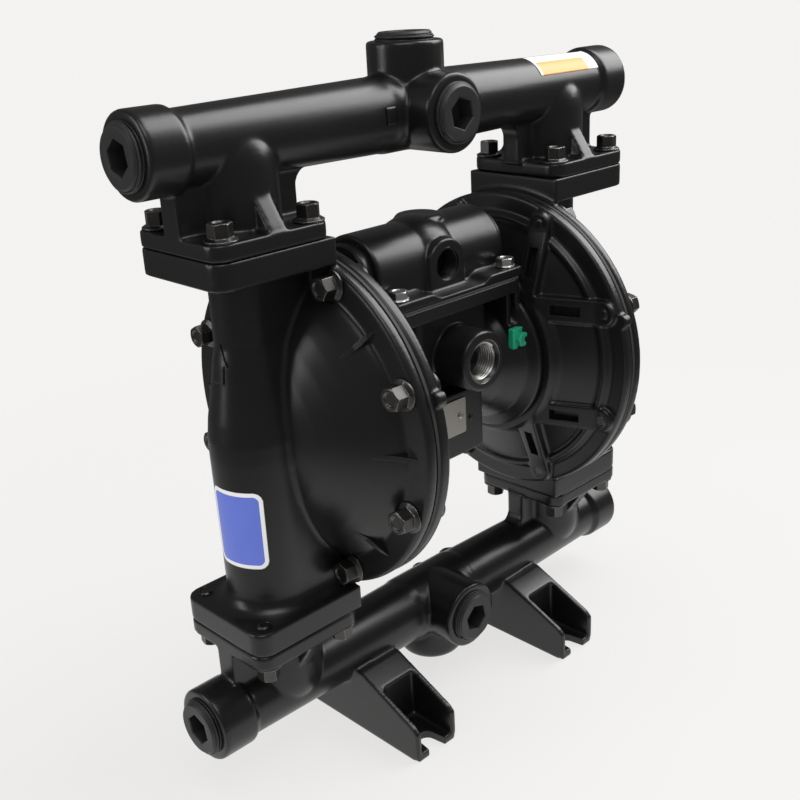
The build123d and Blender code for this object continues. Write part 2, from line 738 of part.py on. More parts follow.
with BuildPart() as nameplate_rivets:
    with BuildSketch(Plane.XZ.offset(-name_pad_y + name_plate_t)):
        with Locations((name_plate_x, name_plate_z)):
            with GridLocations(name_plate_w - 5, name_plate_h - 5, 2, 2):
                Circle(rivet_r)
    extrude(amount=0.9, taper=25)
    with BuildSketch(Plane.XZ.offset(-name_pad_y + name_plate_t)):
        with Locations((name_plate_x, name_plate_z)):
            with GridLocations(name_plate_w - 5, name_plate_h - 5, 2, 2):
                Circle(rivet_r * 0.6)
    extrude(amount=-3)
save("nameplate_rivets", nameplate_rivets.part)

ground_bolt = hex_screw(8, 8, 3.2, 5)
with BuildPart() as ground_screw:
    with Locations(Plane(origin=(ground_x, ground_y, ground_z), x_dir=(1, 0, 0), z_dir=(0, -1, 0))):
        add(ground_bolt)
save("ground_screw", ground_screw.part)

# ---------------------------------------------------------------- air valve
with BuildPart() as air_valve_gasket:
    with BuildSketch(Plane.XY.offset(plate_top_z)):
        RectangleRounded(2 * plate_half_x, 2 * plate_half_y, 6)
        Circle(passage_r, mode=Mode.SUBTRACT)
        with Locations(*valve_screws):
            Circle(screw_d / 2 + bolt_gap, mode=Mode.SUBTRACT)
    extrude(amount=valve_gasket_t)
save("air_valve_gasket", air_valve_gasket.part)

valve_axis_plane = Plane(origin=(0, 0, valve_z), x_dir=(0, 1, 0), z_dir=(1, 0, 0))
with BuildPart() as air_valve_body:
    with BuildSketch(valve_axis_plane):
        Circle(valve_r)
        with Locations((0, (valve_base_z - valve_z) / 2)):
            Rectangle(2 * valve_r, valve_z - valve_base_z)
    extrude(amount=valve_barrel_half, both=True)
    with BuildSketch(valve_axis_plane):
        with Locations((0, valve_base_z - valve_z - 20)):
            Rectangle(4 * valve_r, 40)
    extrude(amount=valve_barrel_half, both=True, mode=Mode.SUBTRACT)
    with BuildSketch(Plane.XY.offset(valve_base_z)):
        RectangleRounded(2 * plate_half_x, 2 * plate_half_y, 6)
    extrude(amount=valve_flange_t)
    with BuildSketch(Plane.XZ):
        with Locations((0, valve_z + 1)):
            RectangleRounded(2 * exhaust_pad_half, 2 * exhaust_pad_half, 4)
    extrude(amount=-exhaust_pad_y)
    # spool bore, exhaust port and the passage from the housing
    with BuildSketch(valve_axis_plane):
        Circle(spool_bore_r)
    extrude(amount=valve_barrel_half, both=True, mode=Mode.SUBTRACT)
    with BuildSketch(Plane.XZ.offset(-exhaust_pad_y)):
        with Locations((0, valve_z + 1)):
            Circle(exhaust_r)
    extrude(amount=-exhaust_depth, mode=Mode.SUBTRACT)
    with BuildSketch(Plane.XZ):
        with Locations((0, valve_z + 1)):
            Circle(4)
    extrude(amount=-exhaust_pad_y, mode=Mode.SUBTRACT)
    with BuildSketch(Plane.XY.offset(valve_base_z)):
        Circle(4)
    extrude(amount=valve_z - valve_base_z, mode=Mode.SUBTRACT)
    with BuildSketch(Plane.XY.offset(valve_base_z)):
        with Locations(*valve_screws):
            Circle(screw_d / 2 + bolt_gap)
    extrude(amount=valve_flange_t, mode=Mode.SUBTRACT)
save("air_valve_body", air_valve_body.part)

with BuildPart() as valve_cap:
    with BuildSketch(valve_axis_plane.offset(valve_barrel_half)):
        Circle(valve_cap_r)
        with Locations((0, -30 + valve_flange_z + 0.2 - valve_z)):
            Rectangle(2 * valve_cap_r, 60, mode=Mode.SUBTRACT)
    extrude(amount=valve_cap_t)
    chamfer(valve_cap.faces().sort_by(Axis.X)[-1].edges(), 1.5)
save("right_valve_cap", valve_cap.part)
save("left_valve_cap", mirrored(valve_cap.part))

with BuildPart() as valve_spool:
    with BuildSketch(valve_axis_plane):
        Circle(spool_neck_r)
    extrude(amount=spool_half, both=True)
    for x in (-spool_half + spool_land / 2, 0, spool_half - spool_land / 2):
        with BuildSketch(valve_axis_plane.offset(x)):
            Circle(spool_r)
        extrude(amount=spool_land / 2, both=True)
save("valve_spool", valve_spool.part)

valve_screw = hex_screw(screw_af, 14)
with BuildPart() as air_valve_screws:
    with Locations(*[(x, y, valve_flange_z) for x, y in valve_screws]):
        add(valve_screw)
save("air_valve_screws", air_valve_screws.part)

# ---------------------------------------------------------------- shaft, plates and diaphragms
shaft_end_x = air_joint_x - air_plate_t
with BuildPart() as diaphragm_shaft:
    with BuildSketch(across):
        Circle(shaft_r)
    extrude(amount=shaft_end_x, both=True)
    chamfer(diaphragm_shaft.edges().filter_by(GeomType.CIRCLE), 0.8)
    for end in (-1, 1):
        with BuildSketch(across.offset(end * shaft_end_x)):
            Circle(shaft_bolt_r + shaft_bolt_hole_gap)
        extrude(amount=-end * (shaft_bolt_grip + 3), mode=Mode.SUBTRACT)
save("diaphragm_shaft", diaphragm_shaft.part)

with BuildPart() as air_plate:
    bolt_hole_r = shaft_bolt_r + shaft_bolt_hole_gap
    revolve(section([(shaft_end_x, bolt_hole_r), (air_joint_x, bolt_hole_r), (air_joint_x, air_plate_r - 3),
                      (air_joint_x - 2.5, air_plate_r), (shaft_end_x + 3, air_plate_r - 1),
                      (shaft_end_x, 22)]),
            axis=pump_axis)
save("right_air_plate", air_plate.part)
save("left_air_plate", mirrored(air_plate.part))

with BuildPart() as fluid_plate:
    revolve(section([(fluid_joint_x, bolt_hole_r), (fluid_joint_x, fluid_plate_r - 3),
                      (fluid_joint_x + 2.5, fluid_plate_r), (fluid_joint_x + 3.5, fluid_plate_r - 1),
                      (fluid_joint_x + fluid_plate_t, 17), (fluid_joint_x + fluid_plate_t, bolt_hole_r)]),
            axis=pump_axis)
save("right_fluid_plate", fluid_plate.part)
save("left_fluid_plate", mirrored(fluid_plate.part))

with BuildPart() as shaft_bolt:
    with BuildSketch(across.offset(fluid_joint_x + fluid_plate_t)):
        RegularPolygon(shaft_bolt_head_r - 1.5, 6, major_radius=False)
    extrude(amount=shaft_bolt_head_t)
    chamfer(shaft_bolt.faces().sort_by(Axis.X)[-1].edges(), 0.8)
    with BuildSketch(across.offset(fluid_joint_x + fluid_plate_t)):
        Circle(shaft_bolt_r)
    extrude(amount=-(fluid_joint_x + fluid_plate_t - shaft_end_x + shaft_bolt_grip))
save("right_shaft_bolt", shaft_bolt.part)
save("left_shaft_bolt", mirrored(shaft_bolt.part))

with BuildPart() as diaphragm:
    roll_r0 = air_plate_r + 3
    roll_r1 = cavity_r - 2
    roll_mid = (roll_r0 + roll_r1) / 2
    with BuildSketch(axial):
        with BuildLine():
            Polyline((air_joint_x, roll_r0), (air_joint_x, bolt_hole_r),
                     (fluid_joint_x, bolt_hole_r), (fluid_joint_x, roll_r0))
            ThreePointArc((fluid_joint_x, roll_r0), (fluid_joint_x + diaphragm_roll, roll_mid),
                          (fluid_joint_x, roll_r1))
            Polyline((fluid_joint_x, roll_r1), (fluid_joint_x, rim_r - 0.5),
                     (air_joint_x, rim_r - 0.5), (air_joint_x, roll_r1))
            ThreePointArc((air_joint_x, roll_r1), (air_joint_x + diaphragm_roll, roll_mid),
                          (air_joint_x, roll_r0))
        make_face()
    revolve(axis=pump_axis)
    with BuildSketch(across.offset(air_joint_x)):
        with PolarLocations(bolt_circle_r, cover_bolt_count, start_angle=first_bolt_deg):
            Circle(bolt_d / 2 + bolt_gap)
    extrude(amount=diaphragm_t, mode=Mode.SUBTRACT)
save("right_diaphragm", diaphragm.part)
save("left_diaphragm", mirrored(diaphragm.part))

# ---------------------------------------------------------------- ball checks
for name, x, seat_top in (("left_inlet", -leg_x, low_joint_z), ("right_inlet", leg_x, low_joint_z),
                          ("left_outlet", -leg_x, top_joint_z), ("right_outlet", leg_x, top_joint_z)):
    with BuildPart() as ball:
        with Locations((x, 0, seat_top + ball_centre_rise)):
            Sphere(ball_r)
    save(f"{name}_ball", ball.part)
    with BuildPart() as seat:
        with BuildSketch(Plane(origin=(x, 0, seat_top), x_dir=(1, 0, 0), z_dir=(0, -1, 0))):
            with BuildLine():
                Polyline((seat_lip_r, 0), (seat_r, 0), (seat_r, -seat_t / 2 + ring_t / 2),
                         (seat_r - ring_t, -seat_t / 2 + ring_t / 2),
                         (seat_r - ring_t, -seat_t / 2 - ring_t / 2),
                         (seat_r, -seat_t / 2 - ring_t / 2), (seat_r, -seat_t),
                         (seat_bore_r, -seat_t), (seat_bore_r, seat_bore_r - seat_lip_r),
                         close=True)
            make_face()
        revolve(axis=Axis((x, 0, 0), (0, 0, 1)))
    save(f"{name}_seat", seat.part)

with BuildPart() as seat_o_rings:
    with Locations(*[(x, 0, z - seat_t / 2) for x in (-leg_x, leg_x)
                     for z in (low_joint_z, top_joint_z)]):
        Torus(seat_r - ring_t / 2, ring_t / 2 - 0.05)
save("seat_o_rings", seat_o_rings.part)

# ---------------------------------------------------------------- plugs and bolts
plug = socket_plug()
for name, origin, out in (
        ("outlet_end_plug", (-manifold_half, 0, outlet_z), (-1, 0, 0)),
        ("inlet_end_plug", (-manifold_half, 0, inlet_z), (-1, 0, 0)),
        ("outlet_front_plug", (0, -boss_reach, outlet_z), (0, -1, 0)),
        ("inlet_front_plug", (0, -boss_reach, inlet_z), (0, -1, 0)),
        ("outlet_top_plug", (0, 0, outlet_z + boss_reach), (0, 0, 1))):
    with BuildPart() as port_plug:
        with Locations(Plane(origin=origin, z_dir=out)):
            add(plug)
    save(name, port_plug.part)

cover_bolt = flange_bolt(fluid_rim_x - boss_face_x + bolt_tip)
with BuildPart() as cover_bolts:
    with Locations(across.offset(fluid_rim_x)):
        with PolarLocations(bolt_circle_r, cover_bolt_count, start_angle=first_bolt_deg):
            add(cover_bolt)
save("right_cover_bolts", cover_bolts.part)
save("left_cover_bolts", mirrored(cover_bolts.part))

flange_stack = manifold_flange_t + cover_flange_t + bolt_tip
manifold_bolt = flange_bolt(flange_stack)
both_sides = [(side * x, y) for side in (-1, 1) for x, y in flange_bolts]
with BuildPart() as outlet_manifold_bolts:
    with Locations(*[(x, y, top_joint_z + manifold_flange_t) for x, y in both_sides]):
        add(manifold_bolt)
save("outlet_manifold_bolts", outlet_manifold_bolts.part)

with BuildPart() as inlet_manifold_bolts:
    with Locations(*[Plane(origin=(x, y, low_joint_z - manifold_flange_t), x_dir=(1, 0, 0),
                           z_dir=(0, 0, -1)) for x, y in both_sides]):
        add(manifold_bolt)
save("inlet_manifold_bolts", inlet_manifold_bolts.part)
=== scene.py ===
"""Looks of the air operated diaphragm pump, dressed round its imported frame.

Metres, +Z up, X along the manifolds, -Y the side with the air inlet.
"""

import json
from math import cos, pi, radians, sin, sqrt

import bmesh
import bpy
from mathutils import Matrix, Vector
from mathutils.bvhtree import BVHTree


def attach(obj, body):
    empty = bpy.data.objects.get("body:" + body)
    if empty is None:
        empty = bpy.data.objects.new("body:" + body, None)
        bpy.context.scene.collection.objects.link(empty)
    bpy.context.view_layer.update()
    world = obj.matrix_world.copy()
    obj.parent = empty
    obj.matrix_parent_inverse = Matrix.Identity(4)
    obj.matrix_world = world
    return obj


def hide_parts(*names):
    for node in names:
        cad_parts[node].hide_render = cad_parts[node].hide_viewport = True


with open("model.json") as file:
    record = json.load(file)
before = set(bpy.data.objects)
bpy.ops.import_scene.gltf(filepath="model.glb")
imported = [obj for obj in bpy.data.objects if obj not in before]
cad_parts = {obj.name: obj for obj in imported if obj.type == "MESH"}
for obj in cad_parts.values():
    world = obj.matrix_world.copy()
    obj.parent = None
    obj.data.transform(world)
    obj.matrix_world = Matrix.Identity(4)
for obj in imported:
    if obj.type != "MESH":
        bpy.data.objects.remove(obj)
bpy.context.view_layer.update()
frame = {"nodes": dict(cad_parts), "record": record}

nodes = frame["nodes"]
MM = 0.001

# ---------------------------------------------------------------- places of the castings, in mm
OUTLET_Z = 371.7        # axis of the outlet manifold
INLET_Z = 48.4          # axis of the inlet manifold
DISC_Z = 210.05         # axis of the shaft and the round covers
LEG_X = 129.5           # middle of a leg's joint, and axis of a column
RISER_X = 127.5         # axis of a manifold's riser
TUBE_END = 186.5        # end faces of a manifold, from its middle
PORT_FACE = 38.6        # front and top port faces, from a manifold's axis
PORT_R = 16.65          # bore of a pipe port
BOLT_CIRCLE = 91.6      # radius that the cover bolts stand on
COVER_BOLTS = 8
ARM_OFFSET = 35.05      # an air cover's arms, from its axis
AIR_INLET_Z = 229.5     # axis of the air inlet
VALVE_Z = 283.5         # axis of the air valve's barrel
EXHAUST_Z = 284.5       # axis of the exhaust port
PAD_FRONT = -39.2       # face of the pad that carries the nameplate
SIDES = 48              # facets round a turned piece


# ---------------------------------------------------------------- shader building
def node(tree, kind, at=(0, 0), **settings):
    """Add a shader node, set its fields, and return it."""
    made = tree.nodes.new(kind)
    made.location = at
    for name, value in settings.items():
        setattr(made, name, value)
    return made


def noise(tree, coords, scale, detail=3.0, rough=0.5, at=(0, 0)):
    """Noise on the object's own coordinates, scale in features per metre."""
    made = node(tree, "ShaderNodeTexNoise", at)
    tree.links.new(coords, made.inputs["Vector"])
    made.inputs["Scale"].default_value = scale
    made.inputs["Detail"].default_value = detail
    made.inputs["Roughness"].default_value = rough
    return made.outputs["Fac"]


def mixed(tree, factor, a, b, at=(0, 0)):
    """Mix two colours, each a socket or a plain colour."""
    made = node(tree, "ShaderNodeMix", at, data_type="RGBA")
    tree.links.new(factor, made.inputs[0])
    for socket, value in ((made.inputs[6], a), (made.inputs[7], b)):
        if isinstance(value, tuple):
            socket.default_value = value
        else:
            tree.links.new(value, socket)
    return made.outputs[2]


def grey(level, tint=(1.0, 1.0, 1.0)):
    """Opaque colour of one grey level, slightly tinted."""
    return (level * tint[0], level * tint[1], level * tint[2], 1.0)


def scaled(tree, value, low, high, at=(0, 0), start=0.0, stop=1.0, kind="LINEAR"):
    """A value between start and stop spread over the range from low to high."""
    made = node(tree, "ShaderNodeMapRange", at, interpolation_type=kind)
    tree.links.new(value, made.inputs["Value"])
    made.inputs["From Min"].default_value = start
    made.inputs["From Max"].default_value = stop
    made.inputs["To Min"].default_value = low
    made.inputs["To Max"].default_value = high
    return made.outputs["Result"]


def edge_mask(tree, radius, at=(0, 0)):
    """1 on convex and concave edges within a radius, 0 on open faces; and the rounded normal."""
    bevel = node(tree, "ShaderNodeBevel", at, samples=4)
    bevel.inputs["Radius"].default_value = radius
    geometry = node(tree, "ShaderNodeNewGeometry", (at[0], at[1] - 200))
    dot = node(tree, "ShaderNodeVectorMath", (at[0] + 200, at[1]), operation="DOT_PRODUCT")
    tree.links.new(bevel.outputs[0], dot.inputs[0])
    tree.links.new(geometry.outputs["Normal"], dot.inputs[1])
    worn = scaled(tree, dot.outputs["Value"], 0.0, 1.0, (at[0] + 400, at[1]), 1.0, 0.86)
    return worn, bevel.outputs[0]


def finish_material(name, colour, roughness, metallic=0.0, grain=((900, 0.15, 0.0002),),
                    wear=None, rounding=0.0008, variation=0.12):
    """A metal, paint or rubber finish.

    colour      its base colour
    roughness   (low, high), varied slowly over the surface
    grain       bump layers of (features per metre, strength, depth)
    wear        (colour, amount) shown on edges, or None
    rounding    radius to which edges are softened
    variation   how far the colour drifts from place to place
    """
    material = bpy.data.materials.new(name)
    material.use_nodes = True
    tree = material.node_tree
    tree.nodes.clear()
    output = node(tree, "ShaderNodeOutputMaterial", (1200, 0))
    shader = node(tree, "ShaderNodeBsdfPrincipled", (900, 0))
    tree.links.new(shader.outputs[0], output.inputs[0])
    coords = node(tree, "ShaderNodeTexCoord", (-1200, 0)).outputs["Object"]
    drift = noise(tree, coords, 34, 4, 0.6, (-900, 200))
    fine = noise(tree, coords, 420, 3, 0.6, (-900, 0))
    dark = tuple(c * (1 - variation) for c in colour[:3]) + (1.0,)
    light = tuple(min(1.0, c * (1 + variation)) for c in colour[:3]) + (1.0,)
    tone = mixed(tree, drift, dark, light, (-500, 200))
    mask, rounded = edge_mask(tree, rounding, (-900, -600))
    if wear:
        wear_colour, amount = wear
        broken = node(tree, "ShaderNodeMath", (-300, -400), operation="MULTIPLY")
        tree.links.new(mask, broken.inputs[0])
        tree.links.new(scaled(tree, fine, -0.5 * amount, 1.7 * amount, (-500, -400)),
                       broken.inputs[1])
        broken.use_clamp = True
        tone = mixed(tree, broken.outputs[0], tone, wear_colour, (-100, 200))
    tree.links.new(tone, shader.inputs["Base Color"])
    shader.inputs["Metallic"].default_value = metallic
    blend = node(tree, "ShaderNodeMath", (-500, 0), operation="ADD")
    tree.links.new(scaled(tree, drift, 0.0, 0.6, (-700, 0)), blend.inputs[0])
    tree.links.new(scaled(tree, fine, 0.0, 0.4, (-700, -200)), blend.inputs[1])
    tree.links.new(scaled(tree, blend.outputs[0], roughness[0], roughness[1], (-300, 0)),
                   shader.inputs["Roughness"])
    normal = rounded
    for i, (scale, strength, depth) in enumerate(grain):
        bump = node(tree, "ShaderNodeBump", (200 + 200 * i, -400))
        bump.inputs["Strength"].default_value = strength
        bump.inputs["Distance"].default_value = depth
        tree.links.new(noise(tree, coords, scale, 2, 0.55, (-100 + 200 * i, -800)),
                       bump.inputs["Height"])
        tree.links.new(normal, bump.inputs["Normal"])
        normal = bump.outputs[0]
    tree.links.new(normal, shader.inputs["Normal"])
    return material


cast_coat = finish_material(
    "satin_black_casting", grey(0.0055, (1, 1, 1.0)), (0.24, 0.36),
    grain=((1500, 0.3, 0.00008), (260, 0.1, 0.0003)), wear=(grey(0.035), 0.35))
plug_black = finish_material(
    "black_pipe_plug", grey(0.013), (0.38, 0.55), grain=((1200, 0.3, 0.0001),),
    wear=(grey(0.05), 0.6), rounding=0.0006)
bolt_steel = finish_material(
    "burnished_bolt_steel", grey(0.1, (1, 0.97, 0.93)), (0.3, 0.46), metallic=1.0,
    grain=((1400, 0.25, 0.0001),), wear=(grey(0.6), 1.0), rounding=0.00045, variation=0.35)
bright_steel = finish_material(
    "ground_steel", grey(0.62), (0.2, 0.32), metallic=1.0, rounding=0.0004, variation=0.05)
zinc = finish_material(
    "zinc_plate", grey(0.66, (1, 1, 0.98)), (0.22, 0.36), metallic=1.0,
    grain=((1600, 0.2, 0.00008),), rounding=0.0005, variation=0.08)
plate_metal = finish_material(
    "brushed_plate", grey(0.42, (1, 0.96, 0.88)), (0.3, 0.44), metallic=1.0,
    rounding=0.0003, variation=0.08)
green_coat = finish_material(
    "green_screw_coat", (0.01, 0.26, 0.14, 1.0), (0.3, 0.42), rounding=0.0004,
    wear=((0.1, 0.5, 0.3, 1.0), 0.5))
rubber = finish_material(
    "black_rubber", grey(0.018), (0.55, 0.7), grain=((900, 0.4, 0.0002),), rounding=0.0004)
seal_rubber = finish_material(
    "seal_rubber_black", grey(0.014), (0.45, 0.6), rounding=0.0003)
acetal = finish_material(
    "natural_acetal", grey(0.78, (1, 1, 0.97)), (0.38, 0.5), rounding=0.0004, variation=0.03)
gasket_sheet = finish_material(
    "gasket_sheet", grey(0.03), (0.6, 0.75), grain=((2200, 0.5, 0.0001),), rounding=0.0002)
turned_aluminium = finish_material(
    "turned_aluminium", grey(0.66), (0.26, 0.38), metallic=1.0, rounding=0.0005, variation=0.05)

bore_metal = finish_material(
    "machined_bore", grey(0.62, (1, 0.98, 0.94)), (0.25, 0.38), metallic=1.0, rounding=0.0003,
    variation=0.1)
blue_vinyl = finish_material(
    "blue_vinyl", (0.104, 0.154, 0.56, 1.0), (0.28, 0.36), grain=((700, 0.2, 0.00005),),
    rounding=0.0002, variation=0.08)
white_vinyl = finish_material(
    "white_vinyl", grey(0.74), (0.3, 0.4), rounding=0.0002, variation=0.03)
orange_vinyl = finish_material(
    "orange_vinyl", (0.8, 0.27, 0.03, 1.0), (0.3, 0.4), rounding=0.0002, variation=0.05)

FINISHES = {
    "coated_casting": cast_coat, "black_plug": plug_black, "flange_bolt_steel": bolt_steel,
    "bright_steel": bright_steel, "zinc_screw": zinc, "plate_metal": plate_metal,
    "green_screw": green_coat, "diaphragm_rubber": rubber, "ball_rubber": rubber,
    "seal_rubber": seal_rubber, "white_plastic": acetal, "gasket_fibre": gasket_sheet,
    "plate_aluminium": turned_aluminium,
}
slot_of = {entry["node"]: entry["material_slot"] for entry in frame["record"]["subparts"]}
for name, obj in nodes.items():
    obj.data.materials.clear()
    obj.data.materials.append(FINISHES[slot_of[name]])


# ---------------------------------------------------------------- castings
def arc(centre, radius, start, end, steps=8):
    """Points of a circular arc in a flat outline."""
    return [(centre[0] + radius * cos(radians(start + (end - start) * i / steps)),
             centre[1] + radius * sin(radians(start + (end - start) * i / steps)))
            for i in range(steps + 1)]


class Mould:
    """Gathers overlapping solids, and two sets of bores cut from them, in millimetres.

    cut is 0 for a solid, or the set of a bore; the bores of one set don't meet each other.
    """

    def __init__(self, flip_x=1, flip_z=1, lift=0.0):
        self.solid, self.cores = bmesh.new(), {1: bmesh.new(), 2: bmesh.new()}
        self.flip_x, self.flip_z, self.lift = flip_x, flip_z, lift

    def put(self, cut, loops):
        """Closed body through loops of points, with its first and last loop as end faces."""
        mesh = self.cores[cut] if cut else self.solid
        rows = [[mesh.verts.new((x * self.flip_x * MM, y * MM, (z * self.flip_z + self.lift) * MM))
                 for x, y, z in loop] for loop in loops]
        count = len(rows[0])
        faces = [mesh.faces.new((a[k], a[(k + 1) % count], b[(k + 1) % count], b[k]))
                 for a, b in zip(rows, rows[1:]) for k in range(count)]
        faces += [mesh.faces.new(rows[0]), mesh.faces.new(rows[-1])]
        bmesh.ops.recalc_face_normals(mesh, faces=faces)

    def turn(self, axis, at, points, cut=0, sides=72):
        """Solid of revolution through (along, radius) points about an axis X, Y or Z."""
        loops = []
        for along, radius in points:
            ring = []
            for k in range(sides):
                a, r = 2 * pi * k / sides, max(radius, 0.02)
                u, v = r * cos(a), r * sin(a)
                offset = {"x": (along, u, v), "y": (u, along, v), "z": (u, v, along)}[axis]
                ring.append(tuple(c + d for c, d in zip(at, offset)))
            loops.append(ring)
        self.put(cut, loops)

    def slab(self, axis, outline, low, high, cut=0):
        """Flat outline given in the plane across an axis, thickened from low to high.

        Across X the outline is (y, z), across Y it is (x, z), across Z it is (x, y).
        """
        place = {"x": lambda a, b, t: (t, a, b), "y": lambda a, b, t: (a, t, b),
                 "z": lambda a, b, t: (a, b, t)}[axis]
        self.put(cut, [[place(a, b, t) for a, b in outline] for t in (low, high)])

    def block(self, x, y, z, corner=0.0, cut=0):
        """Box between (low, high) pairs, with rounded vertical corners."""
        c = max(corner, 0.01)
        outline = (arc((x[1] - c, y[1] - c), c, 0, 90) + arc((x[0] + c, y[1] - c), c, 90, 180)
                   + arc((x[0] + c, y[0] + c), c, 180, 270) + arc((x[1] - c, y[0] + c), c, 270, 360))
        self.slab("z", outline, z[0], z[1], cut)

    def ball(self, at, radius):
        """Sphere."""
        self.turn("z", at, [(-radius * cos(pi * i / 24), radius * sin(pi * i / 24))
                            for i in range(25)])

    def cast(self, name, voxel, passes, share, node_name):
        """Fuse the solids under one soft skin, cut the bores, and keep it for a CAD node.

        voxel is the skin's cell in mm, passes is how often it is smoothed, and share is the
        part of its facets that is kept.
        """
        data = bpy.data.meshes.new(name)
        self.solid.to_mesh(data)
        rough = bpy.data.objects.new(name + "_pattern", data)
        bpy.context.scene.collection.objects.link(rough)
        skin = rough.modifiers.new("skin", "REMESH")
        skin.mode = "VOXEL"
        skin.voxel_size = voxel * MM
        relax = rough.modifiers.new("relax", "SMOOTH")
        relax.factor = 0.5
        relax.iterations = passes
        thin = rough.modifiers.new("thin", "DECIMATE")
        thin.ratio = share
        used = [rough]
        for core in self.cores.values():
            if core.verts:
                core_data = bpy.data.meshes.new(name + "_cores")
                core.to_mesh(core_data)
                cutter = bpy.data.objects.new(name + "_cores", core_data)
                bpy.context.scene.collection.objects.link(cutter)
                used.append(cutter)
                bore = rough.modifiers.new("bore", "BOOLEAN")
                bore.operation = "DIFFERENCE"
                bore.solver = "MANIFOLD"
                bore.object = cutter
            core.free()
        graph = bpy.context.evaluated_depsgraph_get()
        graph.update()
        baked = bpy.data.meshes.new_from_object(rough.evaluated_get(graph), depsgraph=graph)
        for helper in used:
            bpy.data.objects.remove(helper)
        self.solid.free()
        shape = bmesh.new()
        shape.from_mesh(baked)
        for face in shape.faces:
            face.smooth = True
        for edge in shape.edges:
            if edge.is_manifold and edge.calc_face_angle() > radians(50):
                edge.smooth = False
        shape.to_mesh(baked)
        shape.free()
        baked.name = name
        baked.materials.clear()
        baked.materials.append(cast_coat)
        made = fitted(name, baked)
        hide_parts(node_name)
        castings[node_name] = made

    def plain(self, name, finish):
        """Keep the solids as they are, with sharp edges."""
        data = bpy.data.meshes.new(name)
        self.solid.to_mesh(data)
        self.solid.free()
        for core in self.cores.values():
            core.free()
        data.materials.append(finish)
        return fitted(name, data)


def fitted(name, mesh):
    """Put a finished mesh on the pump."""
    made = bpy.data.objects.new(name, mesh)
    bpy.context.scene.collection.objects.link(made)
    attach(made, "pump_frame")
    return made


castings = {}
FLANGE_X, FLANGE_Y = (93.2, 167.0), (-36.2, 36.2)
ENDS = ((-1, "left"), (1, "right"))


def manifold_mould(drop, flip_z, lift):
    """Manifold with its axis at z = 0 and its legs down to a joint at -drop."""
    mould = Mould(flip_z=flip_z, lift=lift)
    half = [(0, 22), (24, 22), (28, 21.2), (161.3, 19.1), (164.3, 21.8), (185.5, 21.8),
            (TUBE_END, 20.8)]
    mould.turn("x", (0, 0, 0), [(-x, r) for x, r in half[::-1]] + half[1:])
    mould.turn("y", (0, 0, 0), [(-PORT_FACE, 21), (1 - PORT_FACE, 22), (0, 22)])
    mould.turn("y", (0, 0, 0), [(-39.5, PORT_R), (-18.6, PORT_R)], cut=1)
    flange_top = 9 - drop
    for side in (-1, 1):
        ends = sorted(side * x for x in FLANGE_X)
        mould.block(ends, FLANGE_Y, (-drop, flange_top), 9)
        riser = (side * RISER_X, 0, 0)
        mould.turn("z", riser, [(-drop + 1, 24), (-12, 24)])
        mould.ball((side * RISER_X, 0, -12), 24)
        web = [(91.5, flange_top - 2), (167, flange_top - 2), (167, -9.5), (82.5, -9.5)]
        web += [(82.5 + 9 * sin(pi / 2 * k / 6), -28 + 9 * cos(pi / 2 * k / 6)) for k in range(7)]
        mould.slab("y", [(side * x, z) for x, z in web], -7, 7)
        for face in (-1, 1):
            rib = [(15, flange_top - 1), (34.7, flange_top - 1), (34.7, flange_top + 1.5),
                   (24, flange_top + 17), (15, flange_top + 17)]
            mould.slab("x", [(face * y, z) for y, z in rib], side * RISER_X - 5.5,
                       side * RISER_X + 5.5)
        end = side * (TUBE_END + 1)
        mould.turn("x", (0, 0, 0), [(end, PORT_R), (side * 166.5, PORT_R)], cut=1)
    mould.turn("x", (0, 0, 0), [(-170, 13), (170, 13)], cut=2)
    return mould


def outlet_manifold():
    """Outlet manifold, with a port in its top."""
    outlet = manifold_mould(51.6, 1, OUTLET_Z)
    outlet.turn("z", (0, 0, 0), [(0, 22), (PORT_FACE - 1, 22), (PORT_FACE, 21)])
    outlet.turn("z", (0, 0, 0), [(18.6, PORT_R), (39.5, PORT_R)], cut=1)
    outlet.cast("outlet_manifold_casting", 1.0, 10, 0.4, "outlet_manifold")


def inlet_manifold():
    """Inlet manifold, with a closed boss below and a hollow foot with open slots at each side."""
    inlet = manifold_mould(49.4, -1, INLET_Z)
    inlet.turn("z", (0, 0, 0), [(0, 22), (31.6, 22)] + [
        (31.6 + 7 * sin(radians(15 * k)), 15 + 7 * cos(radians(15 * k))) for k in range(1, 7)])
    inlet.flip_z, inlet.lift = 1, 0.0
    for side, _ in ENDS:
        for x in (53.8, 83.3):
            outline = [(68.5, 0), (72.5, 4), (72.5, 19.5), (68.5, 23.5), (25, 43)]
            outline += [(-y, z) for y, z in reversed(outline)]
            low, high = sorted((side * x, side * (x + 4)))
            inlet.slab("x", outline, low, high)
        width = sorted((side * 54.8, side * 86.3))
        for end in (-1, 1):
            # the sloped skin between the two cheeks, the sole, and the slot for a bolt
            skin = [(10, 43), (25, 43), (39.5, 36.5), (39.5, 0), (35.5, 0), (35.5, 33.5), (24, 36),
                    (10, 36)]
            inlet.slab("x", [(end * y, z) for y, z in skin], *width)
            inlet.block(width, sorted((end * 38.5, end * 72.4)), (0, 5))
            slot = [(side * 70.5 + x, end * y) for x, y in
                    arc((0, 63.5), 6, 180, 360) + [(7.5, 74), (-7.5, 74)]]
            inlet.slab("z", slot, -1, 7, cut=1)
    inlet.cast("inlet_manifold_casting", 1.0, 7, 0.4, "inlet_manifold")


def inlet_rails():
    """Two low steps along the top of the inlet tube, between its middle and each leg."""
    for side, word in ENDS:
        steps = Mould()
        reach = sorted((side * 20, side * 112))
        for half, low, top in ((8.5, 60, 67), (11.8, 58, 64.8)):
            steps.slab("x", [(-half, low), (half, low), (half, top - 0.6), (half - 0.6, top),
                             (0.6 - half, top), (-half, top - 0.6)], *reach)
        steps.plain(word + "_inlet_rail", cast_coat)


